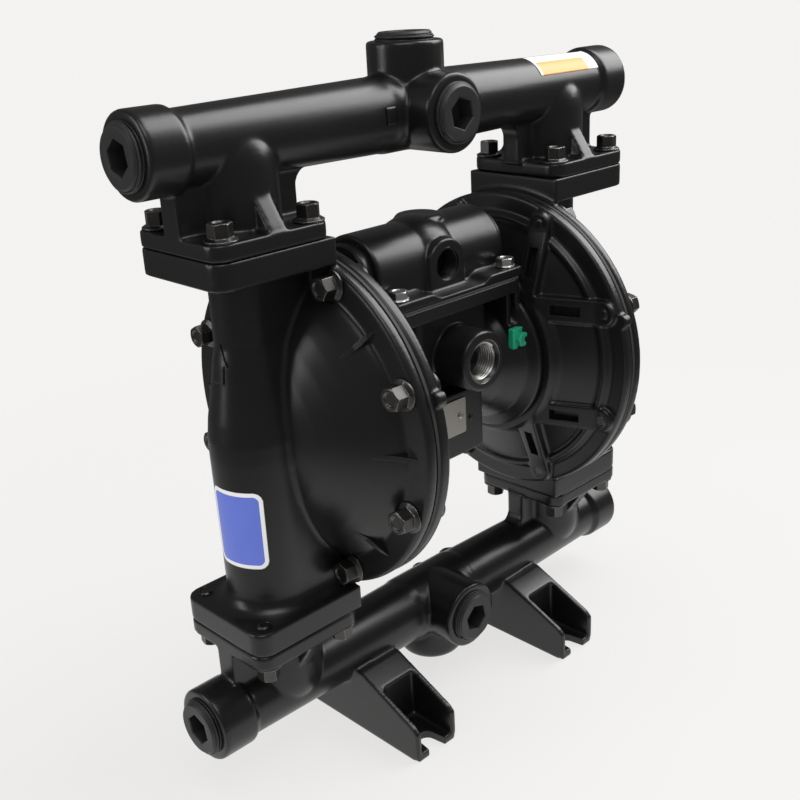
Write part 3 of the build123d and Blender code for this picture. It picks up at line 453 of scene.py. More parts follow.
# (height, radius) of a fluid cover's column, with the hollow curve of its foot
COLUMN = [(318, 17.0), (266, 17.0), (257, 19.0), (246, 20.7), (234, 23.0), (225, 24.8),
          (214, 26.2), (204, 26.4), (190, 26.2), (150, 25.7), (121.3, 25.5)]
COLUMN += [(121.3 - 9 * sin(radians(15 * k)), 34.5 - 9 * cos(radians(15 * k))) for k in range(1, 7)]
COLUMN += [(110, 34.5)]
# (radius, distance along the pump, half width) of a blade, from the rim to the dome
BLADE = ((93.0, 95.6, 0.3), (88, 98.6, 1.3), (84, 100.3, 1.6), (79, 102.2, 1.5),
         (73, 106.0, 1.1), (66, 110.6, 0.3))
BLADE_DEPTH = 6.0


def dome_x(outer, radius):
    """How far along the pump a dome of one outer radius reaches at a distance from its axis."""
    return 7 + sqrt(outer ** 2 - radius * radius)


def bolt_places(along):
    """Points on the bolt circle of a cover, at one distance along the pump."""
    for i in range(COVER_BOLTS):
        a = radians(22.5 + 45 * i)
        yield along, BOLT_CIRCLE * cos(a), DISC_Z + BOLT_CIRCLE * sin(a)


def cover_blades(flip, word):
    """Blades across the inner corner of a fluid cover's rim, thin at their ends."""
    blades = Mould(flip_x=flip)
    for a in (45, 90, 135, 225, 270, 315):
        tip = Vector((sin(radians(a)), cos(radians(a))))
        across_tip = Vector((tip[1], -tip[0]))
        loops = []
        for r, x, w in BLADE:
            loop = []
            for sign, height in ((-1, 0.0), (1, 0.0), (1, -BLADE_DEPTH), (-1, -BLADE_DEPTH)):
                spot = tip * r + across_tip * (w * sign)
                loop.append((x + height, spot[0], DISC_Z + spot[1]))
            loops.append(loop)
        blades.put(0, loops)
    blades.plain(word + "_cover_blades", cast_coat)


def fluid_cover(flip, word):
    """Fluid cover: a hollow dome with a bolt rim, crossed by a column with two flanges."""
    cover = Mould(flip_x=flip)
    dome = [(dome_x(123, r), r) for r in (83, 80, 74, 66, 56, 44, 30, 16, 6, 0)]
    cover.turn("x", (0, 0, DISC_Z), [(88.5, 99.6), (89.7, 100.8), (94.3, 100.8), (95.5, 99.6),
                                     (95.5, 84.5)] + dome, sides=160)
    cover_blades(flip, word)
    cover.turn("z", (LEG_X, 0, 0), COLUMN)
    cheek = [(r, z) for z, r in COLUMN]
    cover.slab("x", cheek + [(-y, z) for y, z in reversed(cheek)], 94.5, LEG_X)
    for low in (97.8, 305.6):
        edge = arc((158, 27.2), 9, 0, 90) + [(92, 36.2), (92, -36.2)] + arc((158, -27.2), 9, 270, 360)
        cover.slab("z", edge, low, low + 14.5)
    for x, y, z in bolt_places(0):
        cover.turn("x", (x, y, z), [(95.45, 9.3), (107, 9.3)], cut=1, sides=32)
    # the hollow behind the dome, where the diaphragm and its plate move
    hollow = [(88, 80), (92, 79)] + [(dome_x(117, r), r) for r in (74, 66, 56, 44, 30, 16, 6)]
    cover.turn("x", (0, 0, DISC_Z), hollow, cut=2, sides=96)
    cover.cast(word + "_fluid_cover_casting", 1.0, 8, 0.4, word + "_fluid_cover")


def air_cover(flip, word):
    """Air cover: a dish with a lip and eight bosses, and arms with pockets across it."""
    air = Mould(flip_x=flip)
    air.turn("x", (0, 0, DISC_Z), [
        (60, 10), (60, 56), (61, 57), (66.4, 59.4), (67.4, 61.4), (76, 81), (76.6, 83),
        (75.2, 84.2), (75.2, 87), (78.6, 89), (79, 89.6), (79, 99.6), (80.2, 100.8),
        (85.3, 100.8), (86.5, 99.6), (86.5, 10)], sides=160)
    side_view = [(40, 60.2), (44, 60.6), (80, 74.4), (84.6, 75.4), (84.6, 85.5), (40, 85.5)]
    pocket = [(52.5, 50), (52.5, 70), (68, 75.5), (71, 72), (71, 50)]
    for away in (-1, 1):
        for off in (-ARM_OFFSET, ARM_OFFSET):
            # one arm along Z and one along Y, each with a pocket between its two walls
            for outline, half, cut in ((side_view, 7.8, 0), (pocket, 3.4, 1)):
                air.slab("y", [(x, DISC_Z + away * r) for r, x in outline], off - half,
                         off + half, cut)
                air.slab("z", [(x, away * r) for r, x in outline], DISC_Z + off - half,
                         DISC_Z + off + half, cut)
    for x, y, z in bolt_places(0):
        air.turn("x", (x, y, z), [(75.2, 7.2), (75.7, 7.8), (85.5, 8.4)], sides=32)
    air.turn("x", (0, -95.1, 240.95), [(79, 4.6), (85.5, 4.6)], sides=32)
    # the hollow for the air plate, and the hole that the shaft runs through
    air.turn("x", (0, 0, DISC_Z), [(66.5, 50), (71, 50), (72.5, 52), (77.5, 68), (78, 71),
                                   (81, 79), (87, 82)], cut=2, sides=96)
    air.turn("x", (0, 0, DISC_Z), [(59, 11), (67, 11)], cut=1, sides=48)
    air.cast(word + "_air_cover_casting", 0.8, 4, 0.4, word + "_air_cover")


def air_valve():
    """Air valve body: a barrel on a stepped foot, with the exhaust boss on its front."""
    valve = Mould()
    valve.slab("y", [(-54, 268.2), (54, 268.2), (54, 274.2), (27, 274.2), (24, 273.4), (20, 271.2),
                     (17, 270.5), (-17, 270.5), (-20, 271.2), (-24, 273.4), (-27, 274.2),
                     (-54, 274.2)], -40, 40)
    valve.turn("x", (0, 0, VALVE_Z), [(-52.5, 24.2), (-51.5, 25), (51.5, 25), (52.5, 24.2)])
    valve.block((-52.5, 52.5), (-25, 25), (268.5, VALVE_Z))
    valve.turn("z", (8, 3, 0), [(VALVE_Z, 15), (308, 15), (310, 13)])
    valve.ball((0, 0, 283), 28)
    valve.turn("y", (0, 0, EXHAUST_Z), [(-28, 14.7), (-27.2, 15.5), (33, 15.5), (34, 14.7)])
    valve.block((-15.5, 15.5), (-28, 34), (268.5, EXHAUST_Z), 1)
    valve.turn("y", (0, 0, EXHAUST_Z), [(-30, 9.5), (-14, 9.5)], cut=1)
    valve.turn("y", (0, 0, EXHAUST_Z), [(-14.5, 4), (-6, 4)], cut=2)
    valve.cast("air_valve_casting", 0.8, 8, 0.5, "air_valve_body")


def center_housing():
    """Centre housing: a necked drum under a flat top, with the air inlet boss and a plate pad."""
    housing = Mould()
    housing.block((-54, 54), (-40, 40), (258, 267), 6)
    housing.block((-33, 33), (-31, 31), (222, 259), 8)
    for side in (-1, 1):
        housing.turn("x", (0, 0, DISC_Z), [(side * -2, 26), (side * 18, 27), (side * 40, 36),
                                           (side * 52, 44), (side * 55.4, 51), (side * 56, 52),
                                           (side * 59.2, 52)], sides=96)
    housing.turn("y", (0, 0, AIR_INLET_Z), [(-55, 17.5), (-54, 18.5), (0, 18.5)])
    housing.slab("y", [(-27, 208), (15, 208), (15, 169), (13, 167), (-25, 167), (-27, 169)],
                 PAD_FRONT, 0)
    housing.slab("y", [(45.5, 223.5), (58.5, 223.5), (58.5, 236.5), (45.5, 236.5)], -36, -18)
    for x in (47, 55.5):
        housing.slab("y", [(x - 1.8, 215), (x + 1.8, 215), (x + 1.8, 259), (x - 1.8, 259)], -34.5, -18)
    housing.turn("y", (0, 0, AIR_INLET_Z), [(-55.2, 13.3), (-52.8, 11.3), (-39, 11.3)], cut=1)
    housing.turn("y", (0, 0, AIR_INLET_Z), [(-39.5, 6), (-10, 6)], cut=2)
    housing.turn("x", (0, 0, DISC_Z), [(-60, 11), (60, 11)], cut=1, sides=48)
    housing.cast("center_housing_casting", 0.8, 5, 0.5, "center_housing")


outlet_manifold()
inlet_manifold()
inlet_rails()
for flip, word in ((1, "right"), (-1, "left")):
    fluid_cover(flip, word)
    air_cover(flip, word)
air_valve()
center_housing()


# ---------------------------------------------------------------- turned and hexagonal pieces
def hexed(across_flats, angle):
    """Distance from the axis to the side of a hexagon at this angle."""
    return across_flats / 2 / cos((angle + pi / 6) % (pi / 3) - pi / 6)


def stacked(name, rings, finish, sharp=28):
    """Closed piece through rings about Z; a ring is (radius, height), each a length or a
    function of the angle, in millimetres."""
    mesh = bmesh.new()
    loops = []
    for radius, height in rings:
        loop = []
        for i in range(SIDES):
            a = 2 * pi * i / SIDES
            r = radius(a) if callable(radius) else radius
            z = height(a) if callable(height) else height
            loop.append(mesh.verts.new((r * cos(a) * MM, r * sin(a) * MM, z * MM)))
        loops.append(loop)
    for low, high in zip(loops, loops[1:]):
        for i in range(SIDES):
            k = (i + 1) % SIDES
            mesh.faces.new((low[i], low[k], high[k], high[i]))
    mesh.faces.new(loops[-1])
    mesh.faces.new(loops[0][::-1])
    bmesh.ops.recalc_face_normals(mesh, faces=mesh.faces)
    for face in mesh.faces:
        face.smooth = True
    for edge in mesh.edges:
        if edge.is_manifold and edge.calc_face_angle() > radians(sharp):
            edge.smooth = False
    data = bpy.data.meshes.new(name)
    mesh.to_mesh(data)
    mesh.free()
    data.materials.append(finish)
    return bpy.data.objects.new(name, data)


def hex_head_rings(af, head, collar_r, collar_t, shank_r, length, dish=0.8):
    """Rings of a flanged hex bolt whose collar sits on z = 0."""
    crown = af / 2 * 0.96
    side = lambda a: hexed(af, a)
    return [(shank_r * 0.72, -length), (shank_r, -length + shank_r * 0.28), (shank_r, 0),
            (collar_r - 0.3, 0), (collar_r, 0.35), (collar_r, collar_t * 0.55),
            (lambda a: hexed(af, a) + 0.5, collar_t), (side, collar_t + 0.35),
            (side, lambda a: head - (hexed(af, a) - crown) * 0.55), (crown, head),
            (crown * 0.74, head), (crown * 0.62, head - dish), (crown * 0.12, head - dish * 1.1)]


# ---------------------------------------------------------------- geometry nodes
def new_tree(name, sockets):
    """Empty geometry node group with named inputs (name, socket type)."""
    tree = bpy.data.node_groups.new(name, "GeometryNodeTree")
    tree.interface.new_socket("Geometry", in_out="INPUT", socket_type="NodeSocketGeometry")
    for label, kind in sockets:
        tree.interface.new_socket(label, in_out="INPUT", socket_type=kind)
    tree.interface.new_socket("Geometry", in_out="OUTPUT", socket_type="NodeSocketGeometry")
    return tree, node(tree, "NodeGroupInput", (-800, 0)), node(tree, "NodeGroupOutput", (800, 0))


def planted(tree, source, out, shape, size=None):
    """Put a shape on every point by the point's own angles, make the copies real, paint them."""
    turn = node(tree, "GeometryNodeInputNamedAttribute", (-500, -450), data_type="FLOAT_VECTOR")
    turn.inputs["Name"].default_value = "turn"
    place = node(tree, "GeometryNodeInstanceOnPoints", (0, 0))
    tree.links.new(source.outputs["Geometry"], place.inputs["Points"])
    tree.links.new(shape, place.inputs["Instance"])
    tree.links.new(turn.outputs["Attribute"], place.inputs["Rotation"])
    if size:
        tree.links.new(size, place.inputs["Scale"])
    real = node(tree, "GeometryNodeRealizeInstances", (250, 0))
    tree.links.new(place.outputs["Instances"], real.inputs[0])
    paint = node(tree, "GeometryNodeSetMaterial", (500, 0))
    tree.links.new(real.outputs[0], paint.inputs["Geometry"])
    tree.links.new(source.outputs["Finish"], paint.inputs["Material"])
    tree.links.new(paint.outputs[0], out.inputs[0])


def fastener_tree():
    """Copies one fastener onto every point, turned by each point's own angles."""
    tree, source, out = new_tree("fastener_set", (
        ("Fastener", "NodeSocketObject"), ("Size", "NodeSocketFloat"),
        ("Finish", "NodeSocketMaterial")))
    info = node(tree, "GeometryNodeObjectInfo", (-500, -200))
    tree.links.new(source.outputs["Fastener"], info.inputs["Object"])
    planted(tree, source, out, info.outputs["Geometry"], source.outputs["Size"])
    return tree


def thread_tree():
    """A screw thread ridge wound about Z on every point, turned like the fasteners."""
    tree, source, out = new_tree("screw_thread", (
        ("Radius", "NodeSocketFloat"), ("Pitch", "NodeSocketFloat"),
        ("Turns", "NodeSocketFloat"), ("Depth", "NodeSocketFloat"),
        ("Finish", "NodeSocketMaterial")))
    helix = node(tree, "GeometryNodeCurveSpiral", (-500, 200))
    helix.inputs["Resolution"].default_value = 40
    for end in ("Start Radius", "End Radius"):
        tree.links.new(source.outputs["Radius"], helix.inputs[end])
    tree.links.new(source.outputs["Turns"], helix.inputs["Rotations"])
    rise = node(tree, "ShaderNodeMath", (-650, 0), operation="MULTIPLY")
    tree.links.new(source.outputs["Pitch"], rise.inputs[0])
    tree.links.new(source.outputs["Turns"], rise.inputs[1])
    tree.links.new(rise.outputs[0], helix.inputs["Height"])
    ridge = node(tree, "GeometryNodeCurvePrimitiveCircle", (-500, -50))
    ridge.inputs["Resolution"].default_value = 4
    tree.links.new(source.outputs["Depth"], ridge.inputs["Radius"])
    sweep = node(tree, "GeometryNodeCurveToMesh", (-250, 150))
    tree.links.new(helix.outputs[0], sweep.inputs["Curve"])
    tree.links.new(ridge.outputs[0], sweep.inputs["Profile Curve"])
    planted(tree, source, out, sweep.outputs[0])
    return tree


FASTENERS = fastener_tree()
THREADS = thread_tree()


def facing(direction, spin=0.0):
    """Euler angles that point +Z along a direction, after a spin about it."""
    aim = Vector(direction).to_track_quat("Z", "Y").to_matrix() @ Matrix.Rotation(spin, 3, "Z")
    return aim.to_euler()


def grown(name, tree, spots, slot, **inputs):
    """Run a tree on spots (point in mm, direction, spin) and keep the result as a plain piece."""
    data = bpy.data.meshes.new(name + "_spots")
    data.from_pydata([tuple(c * MM for c in at) for at, _, _ in spots], [], [])
    turns = data.attributes.new("turn", "FLOAT_VECTOR", "POINT")
    for i, (_, direction, spin) in enumerate(spots):
        turns.data[i].vector = facing(direction, spin)
    holder = bpy.data.objects.new(name + "_spots", data)
    bpy.context.scene.collection.objects.link(holder)
    grow = holder.modifiers.new("grow", "NODES")
    grow.node_group = tree
    for socket in tree.interface.items_tree:
        if socket.in_out == "INPUT" and socket.name in inputs:
            grow[socket.identifier] = inputs[socket.name]
    graph = bpy.context.evaluated_depsgraph_get()
    graph.update()
    baked = bpy.data.meshes.new_from_object(holder.evaluated_get(graph), depsgraph=graph)
    holder.modifiers.clear()
    bpy.data.objects.remove(holder)
    baked.name = name
    return fitted(name, baked)


# ---------------------------------------------------------------- fasteners
TOP_SEAT, LOW_SEAT, VALVE_SEAT, COVER_SEAT = 329.1, 88.8, 274.2, 95.5
FLANGE_BOLT_LENGTH, COVER_BOLT_LENGTH = 24.5, 20.5
THREAD_R, THREAD_PITCH, THREAD_TURNS = 3.8, 1.25, 4.0
flange_bolt = stacked("flange_bolt", hex_head_rings(11.2, 9.6, 8.4, 2.0, 3.85, FLANGE_BOLT_LENGTH),
                      bolt_steel)
cover_bolt = stacked("cover_bolt", hex_head_rings(12.0, 10.5, 8.8, 2.2, 3.85, COVER_BOLT_LENGTH),
                     bolt_steel)
valve_screw = stacked("valve_screw", hex_head_rings(10.0, 5.6, 6.2, 1.0, 2.85, 14, 0.5), zinc)

corners = [(side * LEG_X + dx, dy) for side in (-1, 1) for dx in (-27.5, 27.5)
           for dy in (-27.5, 27.5)]
bolt_sets = {
    "outlet_manifold_bolts": [((x, y, TOP_SEAT), (0, 0, 1), 1.7 * i) for i, (x, y) in
                              enumerate(corners)],
    "inlet_manifold_bolts": [((x, y, LOW_SEAT), (0, 0, -1), 2.3 * i) for i, (x, y) in
                             enumerate(corners)],
}
for side, word in ENDS:
    bolt_sets[word + "_cover_bolts"] = [(at, (side, 0, 0), 1.3 * i) for i, at in
                                        enumerate(bolt_places(side * COVER_SEAT))]
for name, spots in bolt_sets.items():
    pattern, length = ((cover_bolt, COVER_BOLT_LENGTH) if "cover" in name
                       else (flange_bolt, FLANGE_BOLT_LENGTH))
    made = grown(name + "_detail", FASTENERS, spots, "flange_bolt_steel",
                 Fastener=pattern, Size=1.0, Finish=bolt_steel)
    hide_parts(name)
    tips = [(tuple(c - d * length for c, d in zip(at, way)), way, spin)
            for at, way, spin in spots]
    grown(name + "_threads", THREADS, tips, "flange_bolt_steel", Radius=THREAD_R * MM,
          Pitch=THREAD_PITCH * MM, Turns=THREAD_TURNS, Depth=0.45 * MM, Finish=bolt_steel)
screw_spots = [((x, y, VALVE_SEAT), (0, 0, 1), x + y) for x in (-46, 46) for y in (-32.5, 32.5)]
made = grown("air_valve_screws_detail", FASTENERS, screw_spots, "zinc_screw",
             Fastener=valve_screw, Size=1.0, Finish=zinc)
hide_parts("air_valve_screws")

# ---------------------------------------------------------------- pipe plugs and ports
plug = stacked("pipe_plug", [
    (16.0, -14.3), (16.6, -13), (16.6, 0.2), (15.6, 0.7), (16.5, 1.3), (15.5, 1.9), (16.3, 2.5),
    (15.4, 3.0), (15.7, 3.5), (14.5, 4.7), (10.4, 4.7),
    (lambda a: hexed(16.6, a), 4.5), (lambda a: hexed(15.9, a), 3.9),
    (lambda a: hexed(15.9, a), -6.0)], plug_black)
ports = {
    "outlet_end_plug": ((-TUBE_END, 0, OUTLET_Z), (-1, 0, 0)),
    "outlet_front_plug": ((0, -PORT_FACE, OUTLET_Z), (0, -1, 0)),
    "outlet_top_plug": ((0, 0, OUTLET_Z + PORT_FACE), (0, 0, 1)),
    "inlet_end_plug": ((-TUBE_END, 0, INLET_Z), (-1, 0, 0)),
    "inlet_front_plug": ((0, -PORT_FACE, INLET_Z), (0, -1, 0)),
}
for name, (at, way) in ports.items():
    made = grown(name + "_detail", FASTENERS, [(at, way, 0.2)], "black_plug",
                 Fastener=plug, Size=1.0, Finish=plug_black)
    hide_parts(name)
    start = tuple(c - 1.5 * d for c, d in zip(at, way))
    grown(name + "_thread", THREADS, [(start, way, 0.0)], "black_plug", Radius=16.35 * MM,
          Pitch=1.8 * MM, Turns=2.4, Depth=0.75 * MM, Finish=plug_black)


def tapped(name, at, way, radius, depth, pitch, finish, slot):
    """Thread ridges on the wall of an open port."""
    start = tuple(c - (depth - 0.8) * d for c, d in zip(at, way))
    return grown(name, THREADS, [(start, way, 0.0)], slot, Radius=radius * MM, Pitch=pitch * MM,
                 Turns=(depth - 1.6) / pitch, Depth=0.6 * pitch * MM, Finish=finish)


tapped("outlet_port_thread", (TUBE_END, 0, OUTLET_Z), (1, 0, 0), 17.0, 18, 2.2, cast_coat,
       "coated_casting")
tapped("inlet_port_thread", (TUBE_END, 0, INLET_Z), (1, 0, 0), 17.0, 18, 2.2, cast_coat,
       "coated_casting")
tapped("exhaust_port_thread", (0, -28, EXHAUST_Z), (0, -1, 0), 9.8, 12, 1.8, cast_coat,
       "coated_casting")
tapped("air_inlet_thread", (0, -54.0, AIR_INLET_Z), (0, -1, 0), 11.7, 14, 1.8, bore_metal,
       "plate_metal")


def sleeve(name, at, way, rings, finish):
    """Thin turned skin about an axis through rings of (radius, height)."""
    mesh = bmesh.new()
    turn = facing(way).to_matrix()
    loops = []
    for radius, height in rings:
        loops.append([mesh.verts.new((Vector(at) + turn @ Vector(
            (radius * cos(2 * pi * i / 64), radius * sin(2 * pi * i / 64), height))) * MM)
            for i in range(64)])
    for low, high in zip(loops, loops[1:]):
        for i in range(64):
            k = (i + 1) % 64
            mesh.faces.new((low[i], low[k], high[k], high[i])).smooth = True
    data = bpy.data.meshes.new(name)
    mesh.to_mesh(data)
    mesh.free()
    data.materials.append(finish)
    return fitted(name, data)


sleeve("air_inlet_bore", (0, -55, AIR_INLET_Z), (0, -1, 0),
       [(11.2, -15.9), (11.2, -2.3), (13.2, -0.1), (13.4, 0.06)], bore_metal)


# ---------------------------------------------------------------- pieces laid on the castings
def draped(name, node_name, grid, lift, finishes, chooser, thickness=0.12):
    """A thin piece laid on a casting.

    grid(u, v) gives a start point and a direction in mm for the ray that finds the surface;
    chooser(u, v) gives the finish number of a cell or None where there is none.
    """
    cloth = castings[node_name].data
    surface = BVHTree.FromPolygons([v.co for v in cloth.vertices],
                                   [tuple(f.vertices) for f in cloth.polygons])
    mesh = bmesh.new()
    nu, nv = grid.cells
    points = {}
    for i in range(nu + 1):
        for j in range(nv + 1):
            start, way = grid(i / nu, j / nv)
            way = Vector(way).normalized()
            hit = surface.ray_cast(Vector(start) * MM, way)[0]
            if hit is not None:
                points[i, j] = mesh.verts.new(hit - way * lift * MM)
    for i in range(nu):
        for j in range(nv):
            chosen_finish = chooser((i + 0.5) / nu, (j + 0.5) / nv)
            around = [points.get(k) for k in ((i, j), (i + 1, j), (i + 1, j + 1), (i, j + 1))]
            if chosen_finish is not None and all(around):
                face = mesh.faces.new(around)
                face.material_index = chosen_finish
                face.smooth = True
    bmesh.ops.delete(mesh, geom=[v for v in mesh.verts if not v.link_faces], context="VERTS")
    bmesh.ops.recalc_face_normals(mesh, faces=mesh.faces)
    data = bpy.data.meshes.new(name)
    mesh.to_mesh(data)
    mesh.free()
    for finish in finishes:
        data.materials.append(finish)
    made = fitted(name, data)
    body = made.modifiers.new("thickness", "SOLIDIFY")
    body.thickness = thickness * MM
    body.offset = -1
    return made


class Around:
    """Rays towards a straight axis: u runs round it, v runs along it."""

    def __init__(self, axis, centre, angles, reach, cells):
        self.axis, self.centre, self.angles, self.reach, self.cells = (
            axis, centre, angles, reach, cells)

    def __call__(self, u, v):
        a = radians(self.angles[0] + (self.angles[1] - self.angles[0]) * u)
        along = self.reach[0] + (self.reach[1] - self.reach[0]) * v
        if self.axis == "z":
            out = Vector((cos(a), sin(a), 0))
            middle = Vector((self.centre[0], self.centre[1], along))
        else:
            out = Vector((0, cos(a), sin(a)))
            middle = Vector((along, self.centre[0], self.centre[1]))
        return middle + out * 60, -out


def bordered(edge_u, edge_v, corner):
    """Finish 0 along the edges, 1 inside, nothing at the very corners."""
    def choose(u, v):
        du, dv = min(u, 1 - u) / corner, min(v, 1 - v) / corner * 1.35
        if du < 1 and dv < 1:
            reach = sqrt((1 - du) ** 2 + (1 - dv) ** 2)
            return None if reach > 1 else (0 if reach > 1 - edge_u / corner else 1)
        return 0 if du * corner < edge_u or dv * corner < edge_v * 1.35 else 1
    return choose


def arrow_shape(u, v):
    """Outline of an upright arrow: a triangle over a short stem."""
    if v > 0.45:
        return 0 if abs(u - 0.5) < (1 - v) * 0.9 else None
    return 0 if abs(u - 0.5) < 0.3 else None


draped("column_label", "left_fluid_cover", Around("z", (-LEG_X, 0), (158, 235), (141, 188),
       (90, 120)), 0.3, (white_vinyl, blue_vinyl), bordered(0.07, 0.05, 0.16))
draped("tube_label", "outlet_manifold", Around("x", (0, OUTLET_Z), (96, 151), (101, 161),
       (28, 60)), 0.3, (white_vinyl, orange_vinyl),
       lambda u, v: 1 if u > 0.48 and 0.04 < v < 0.84 else 0)
draped("flow_arrow", "left_fluid_cover", Around("z", (-LEG_X, 0), (163, 200), (248, 269),
       (40, 60)), 0.7, (cast_coat,), arrow_shape, 0.8)
draped("cast_pad", "outlet_manifold", Around("x", (0, OUTLET_Z), (163, 189), (-36.5, -29.5),
       (8, 8)), 0.8, (cast_coat,), lambda u, v: 0, 0.9)

# ---------------------------------------------------------------- nameplate and ground tag
def flat_piece(name, outline, low, high, finish, bevel=0.25):
    """Thin plate facing -Y: an (x, z) outline in mm, from low to high along Y."""
    mould = Mould()
    mould.slab("y", outline, low, high)
    made = mould.plain(name, finish)
    soft = made.modifiers.new("soft_edges", "BEVEL")
    soft.width = bevel * MM
    soft.segments = 2
    return made


def rounded(x0, x1, z0, z1, c):
    """Rounded rectangle as an outline."""
    return (arc((x1 - c, z1 - c), c, 0, 90, 4) + arc((x0 + c, z1 - c), c, 90, 180, 4)
            + arc((x0 + c, z0 + c), c, 180, 270, 4) + arc((x1 - c, z0 + c), c, 270, 360, 4))


PLATE_FRONT, RIVET_Z = -40.0, 193.3
TAG_FRONT, TAG_BACK = -39.9, -36.0
plate = flat_piece("nameplate_blank", rounded(-27, -1, 181.5, 204.5, 1.5), PLATE_FRONT, -39.1,
                   plate_metal)
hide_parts("nameplate")
rivet = stacked("drive_rivet", [(1.0, -2), (1.0, 0), (2.1, 0), (2.0, 0.5), (1.5, 1.0),
                                (0.7, 1.2), (0.5, 0.9)], plate_metal)
rivets = grown("nameplate_rivets_detail", FASTENERS,
               [((-6.0, PLATE_FRONT, RIVET_Z), (0, -1, 0), 0.3),
                ((-22.0, PLATE_FRONT, RIVET_Z), (0, -1, 0), 0.8)],
               "plate_metal", Fastener=rivet, Size=1.0, Finish=plate_metal)
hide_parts("nameplate_rivets")
grown("pad_screw", FASTENERS, [((4.1, PAD_FRONT, 189.1), (0, -1, 0), 0.5)], "coated_casting",
      Fastener=rivet, Size=0.9, Finish=cast_coat)
flat_piece("ground_tag", rounded(44.2, 56.4, 221.6, 234.6, 1.0), TAG_FRONT, TAG_BACK,
           green_coat)
ground = stacked("ground_head", [(2.4, -7), (2.4, 0), (lambda a: hexed(8.6, a), 0),
                                 (lambda a: hexed(8.6, a), lambda a: 3.7 - hexed(8.6, a) * 0.15),
                                 (4.0, 3.4), (2.6, 3.4), (2.2, 2.5)], green_coat)
ground_made = grown("ground_screw_detail", FASTENERS, [((51.3, TAG_FRONT + 0.1, 227.4), (0, -1, 0), 0.4)],
                    "green_screw", Fastener=ground, Size=1.0, Finish=green_coat)
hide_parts("ground_screw")

# ---------------------------------------------------------------- stage
BACKDROP = grey(0.9, (1, 0.99, 0.98))
FLOOR_HALF = 9


def stage_plane(name, half, material):
    """A flat square piece of the stage at the height of the pump's base."""
    mesh = bpy.data.meshes.new(name)
    mesh.from_pydata([(-half, -half, 0), (half, -half, 0), (half, half, 0), (-half, half, 0)], [],
                     [(0, 1, 2, 3)])
    mesh.materials.append(material)
    made = bpy.data.objects.new(name, mesh)
    bpy.context.scene.collection.objects.link(made)


def floor_finish():
    """Pale floor that glows away from the pump, and is dim where the castings mirror it."""
    paint = bpy.data.materials.new("stage_floor")
    paint.use_nodes = True
    tree = paint.node_tree
    shader = tree.nodes["Principled BSDF"]
    shader.inputs["Base Color"].default_value = grey(0.55)
    shader.inputs["Roughness"].default_value = 0.5
    shader.inputs["Specular IOR Level"].default_value = 0.2
    span = node(tree, "ShaderNodeVectorMath", (-700, -200), operation="LENGTH")
    tree.links.new(node(tree, "ShaderNodeTexCoord", (-900, -200)).outputs["Object"],
                   span.inputs[0])
    away = span.outputs["Value"]
    path = node(tree, "ShaderNodeLightPath", (-900, -500))
    mirrored = node(tree, "ShaderNodeMath", (-250, -500), operation="MULTIPLY")
    tree.links.new(path.outputs["Is Glossy Ray"], mirrored.inputs[0])
    tree.links.new(scaled(tree, away, 0.0, 0.88, (-450, -500), 0.2, 0.62), mirrored.inputs[1])
    strength = node(tree, "ShaderNodeMath", (-100, -500), operation="SUBTRACT")
    strength.inputs[0].default_value = 1.0
    tree.links.new(mirrored.outputs[0], strength.inputs[1])
    glow = node(tree, "ShaderNodeEmission", (0, -300))
    glow.inputs["Color"].default_value = BACKDROP
    tree.links.new(strength.outputs[0], glow.inputs["Strength"])
    blend = node(tree, "ShaderNodeMixShader", (300, 0))
    tree.links.new(scaled(tree, away, 0.78, 1.0, (-450, -200), 0.28, 0.8, "SMOOTHSTEP"),
                   blend.inputs[0])
    tree.links.new(shader.outputs[0], blend.inputs[1])
    tree.links.new(glow.outputs[0], blend.inputs[2])
    tree.links.new(blend.outputs[0], tree.nodes["Material Output"].inputs[0])
    return paint


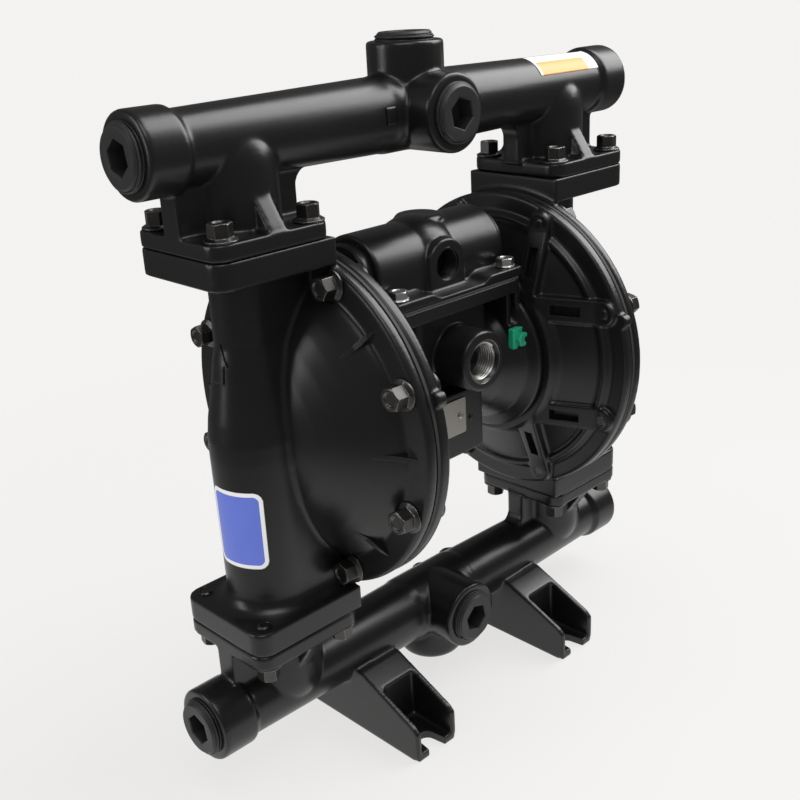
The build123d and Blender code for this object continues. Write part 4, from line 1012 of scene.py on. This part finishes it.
def studio_world():
    """Pale backdrop for the camera, round a room that is bright for the soft fill and dim where
    the castings mirror it."""
    world = bpy.data.worlds.new("studio")
    bpy.context.scene.world = world
    world.use_nodes = True
    tree = world.node_tree
    tree.nodes.clear()
    path = node(tree, "ShaderNodeLightPath", (-600, 300))
    room = node(tree, "ShaderNodeBackground", (0, -150))
    room.inputs["Color"].default_value = grey(1.0)
    tree.links.new(scaled(tree, path.outputs["Is Glossy Ray"], 0.9, 0.12, (-300, -150)),
                   room.inputs["Strength"])
    backdrop = node(tree, "ShaderNodeBackground", (0, 150))
    backdrop.inputs["Color"].default_value = BACKDROP
    backdrop.inputs["Strength"].default_value = 1.0
    seen = node(tree, "ShaderNodeMath", (-300, 300), operation="MAXIMUM")
    tree.links.new(path.outputs["Is Camera Ray"], seen.inputs[0])
    tree.links.new(path.outputs["Is Transmission Ray"], seen.inputs[1])
    chosen = node(tree, "ShaderNodeMixShader", (300, 0))
    tree.links.new(seen.outputs[0], chosen.inputs[0])
    tree.links.new(room.outputs[0], chosen.inputs[1])
    tree.links.new(backdrop.outputs[0], chosen.inputs[2])
    out = node(tree, "ShaderNodeOutputWorld", (600, 0))
    tree.links.new(chosen.outputs[0], out.inputs[0])


def softbox(name, at, towards, size, watts):
    """A rectangular studio light facing a point."""
    lamp = bpy.data.lights.new(name, "AREA")
    lamp.shape = "RECTANGLE"
    lamp.size, lamp.size_y = size
    lamp.energy = watts
    made = bpy.data.objects.new(name, lamp)
    made.location = at
    aim = Vector(towards) - Vector(at)
    made.rotation_euler = aim.to_track_quat("-Z", "Y").to_euler()
    bpy.context.scene.collection.objects.link(made)


stage_plane("studio_floor", FLOOR_HALF, floor_finish())
studio_world()
softbox("key_overhead", (1.05, -0.35, 1.35), (0, 0, 0.3), (1.1, 1.5), 30)
softbox("left_strip", (-1.5, 0.75, 0.75), (0, 0, 0.22), (0.35, 1.2), 6)
softbox("top_fill", (-0.5, -0.5, 1.5), (0, 0, 0.25), (0.8, 0.8), 6)

# ---------------------------------------------------------------- camera
YAW, PITCH, ROLL = radians(43.48), radians(-21.36), radians(-3.03)
CAMERA_AT = (-453.82 * MM, -459.45 * MM, 445.07 * MM)
LENS, SENSOR = 49.02, 36
forward = Vector((sin(YAW) * cos(PITCH), cos(YAW) * cos(PITCH), sin(PITCH)))
level = Vector((cos(YAW), -sin(YAW), 0))
upward = level.cross(forward)
camera_x = level * cos(ROLL) + upward * sin(ROLL)
camera_y = upward * cos(ROLL) - level * sin(ROLL)
lens = bpy.data.cameras.new("studio_camera")
lens.lens = LENS
lens.sensor_width = SENSOR
camera = bpy.data.objects.new("studio_camera", lens)
turned = Matrix((camera_x, camera_y, -forward)).transposed().to_4x4()
camera.matrix_world = Matrix.Translation(CAMERA_AT) @ turned
bpy.context.scene.collection.objects.link(camera)
bpy.context.scene.camera = camera
bpy.context.scene.view_settings.view_transform = "Standard"
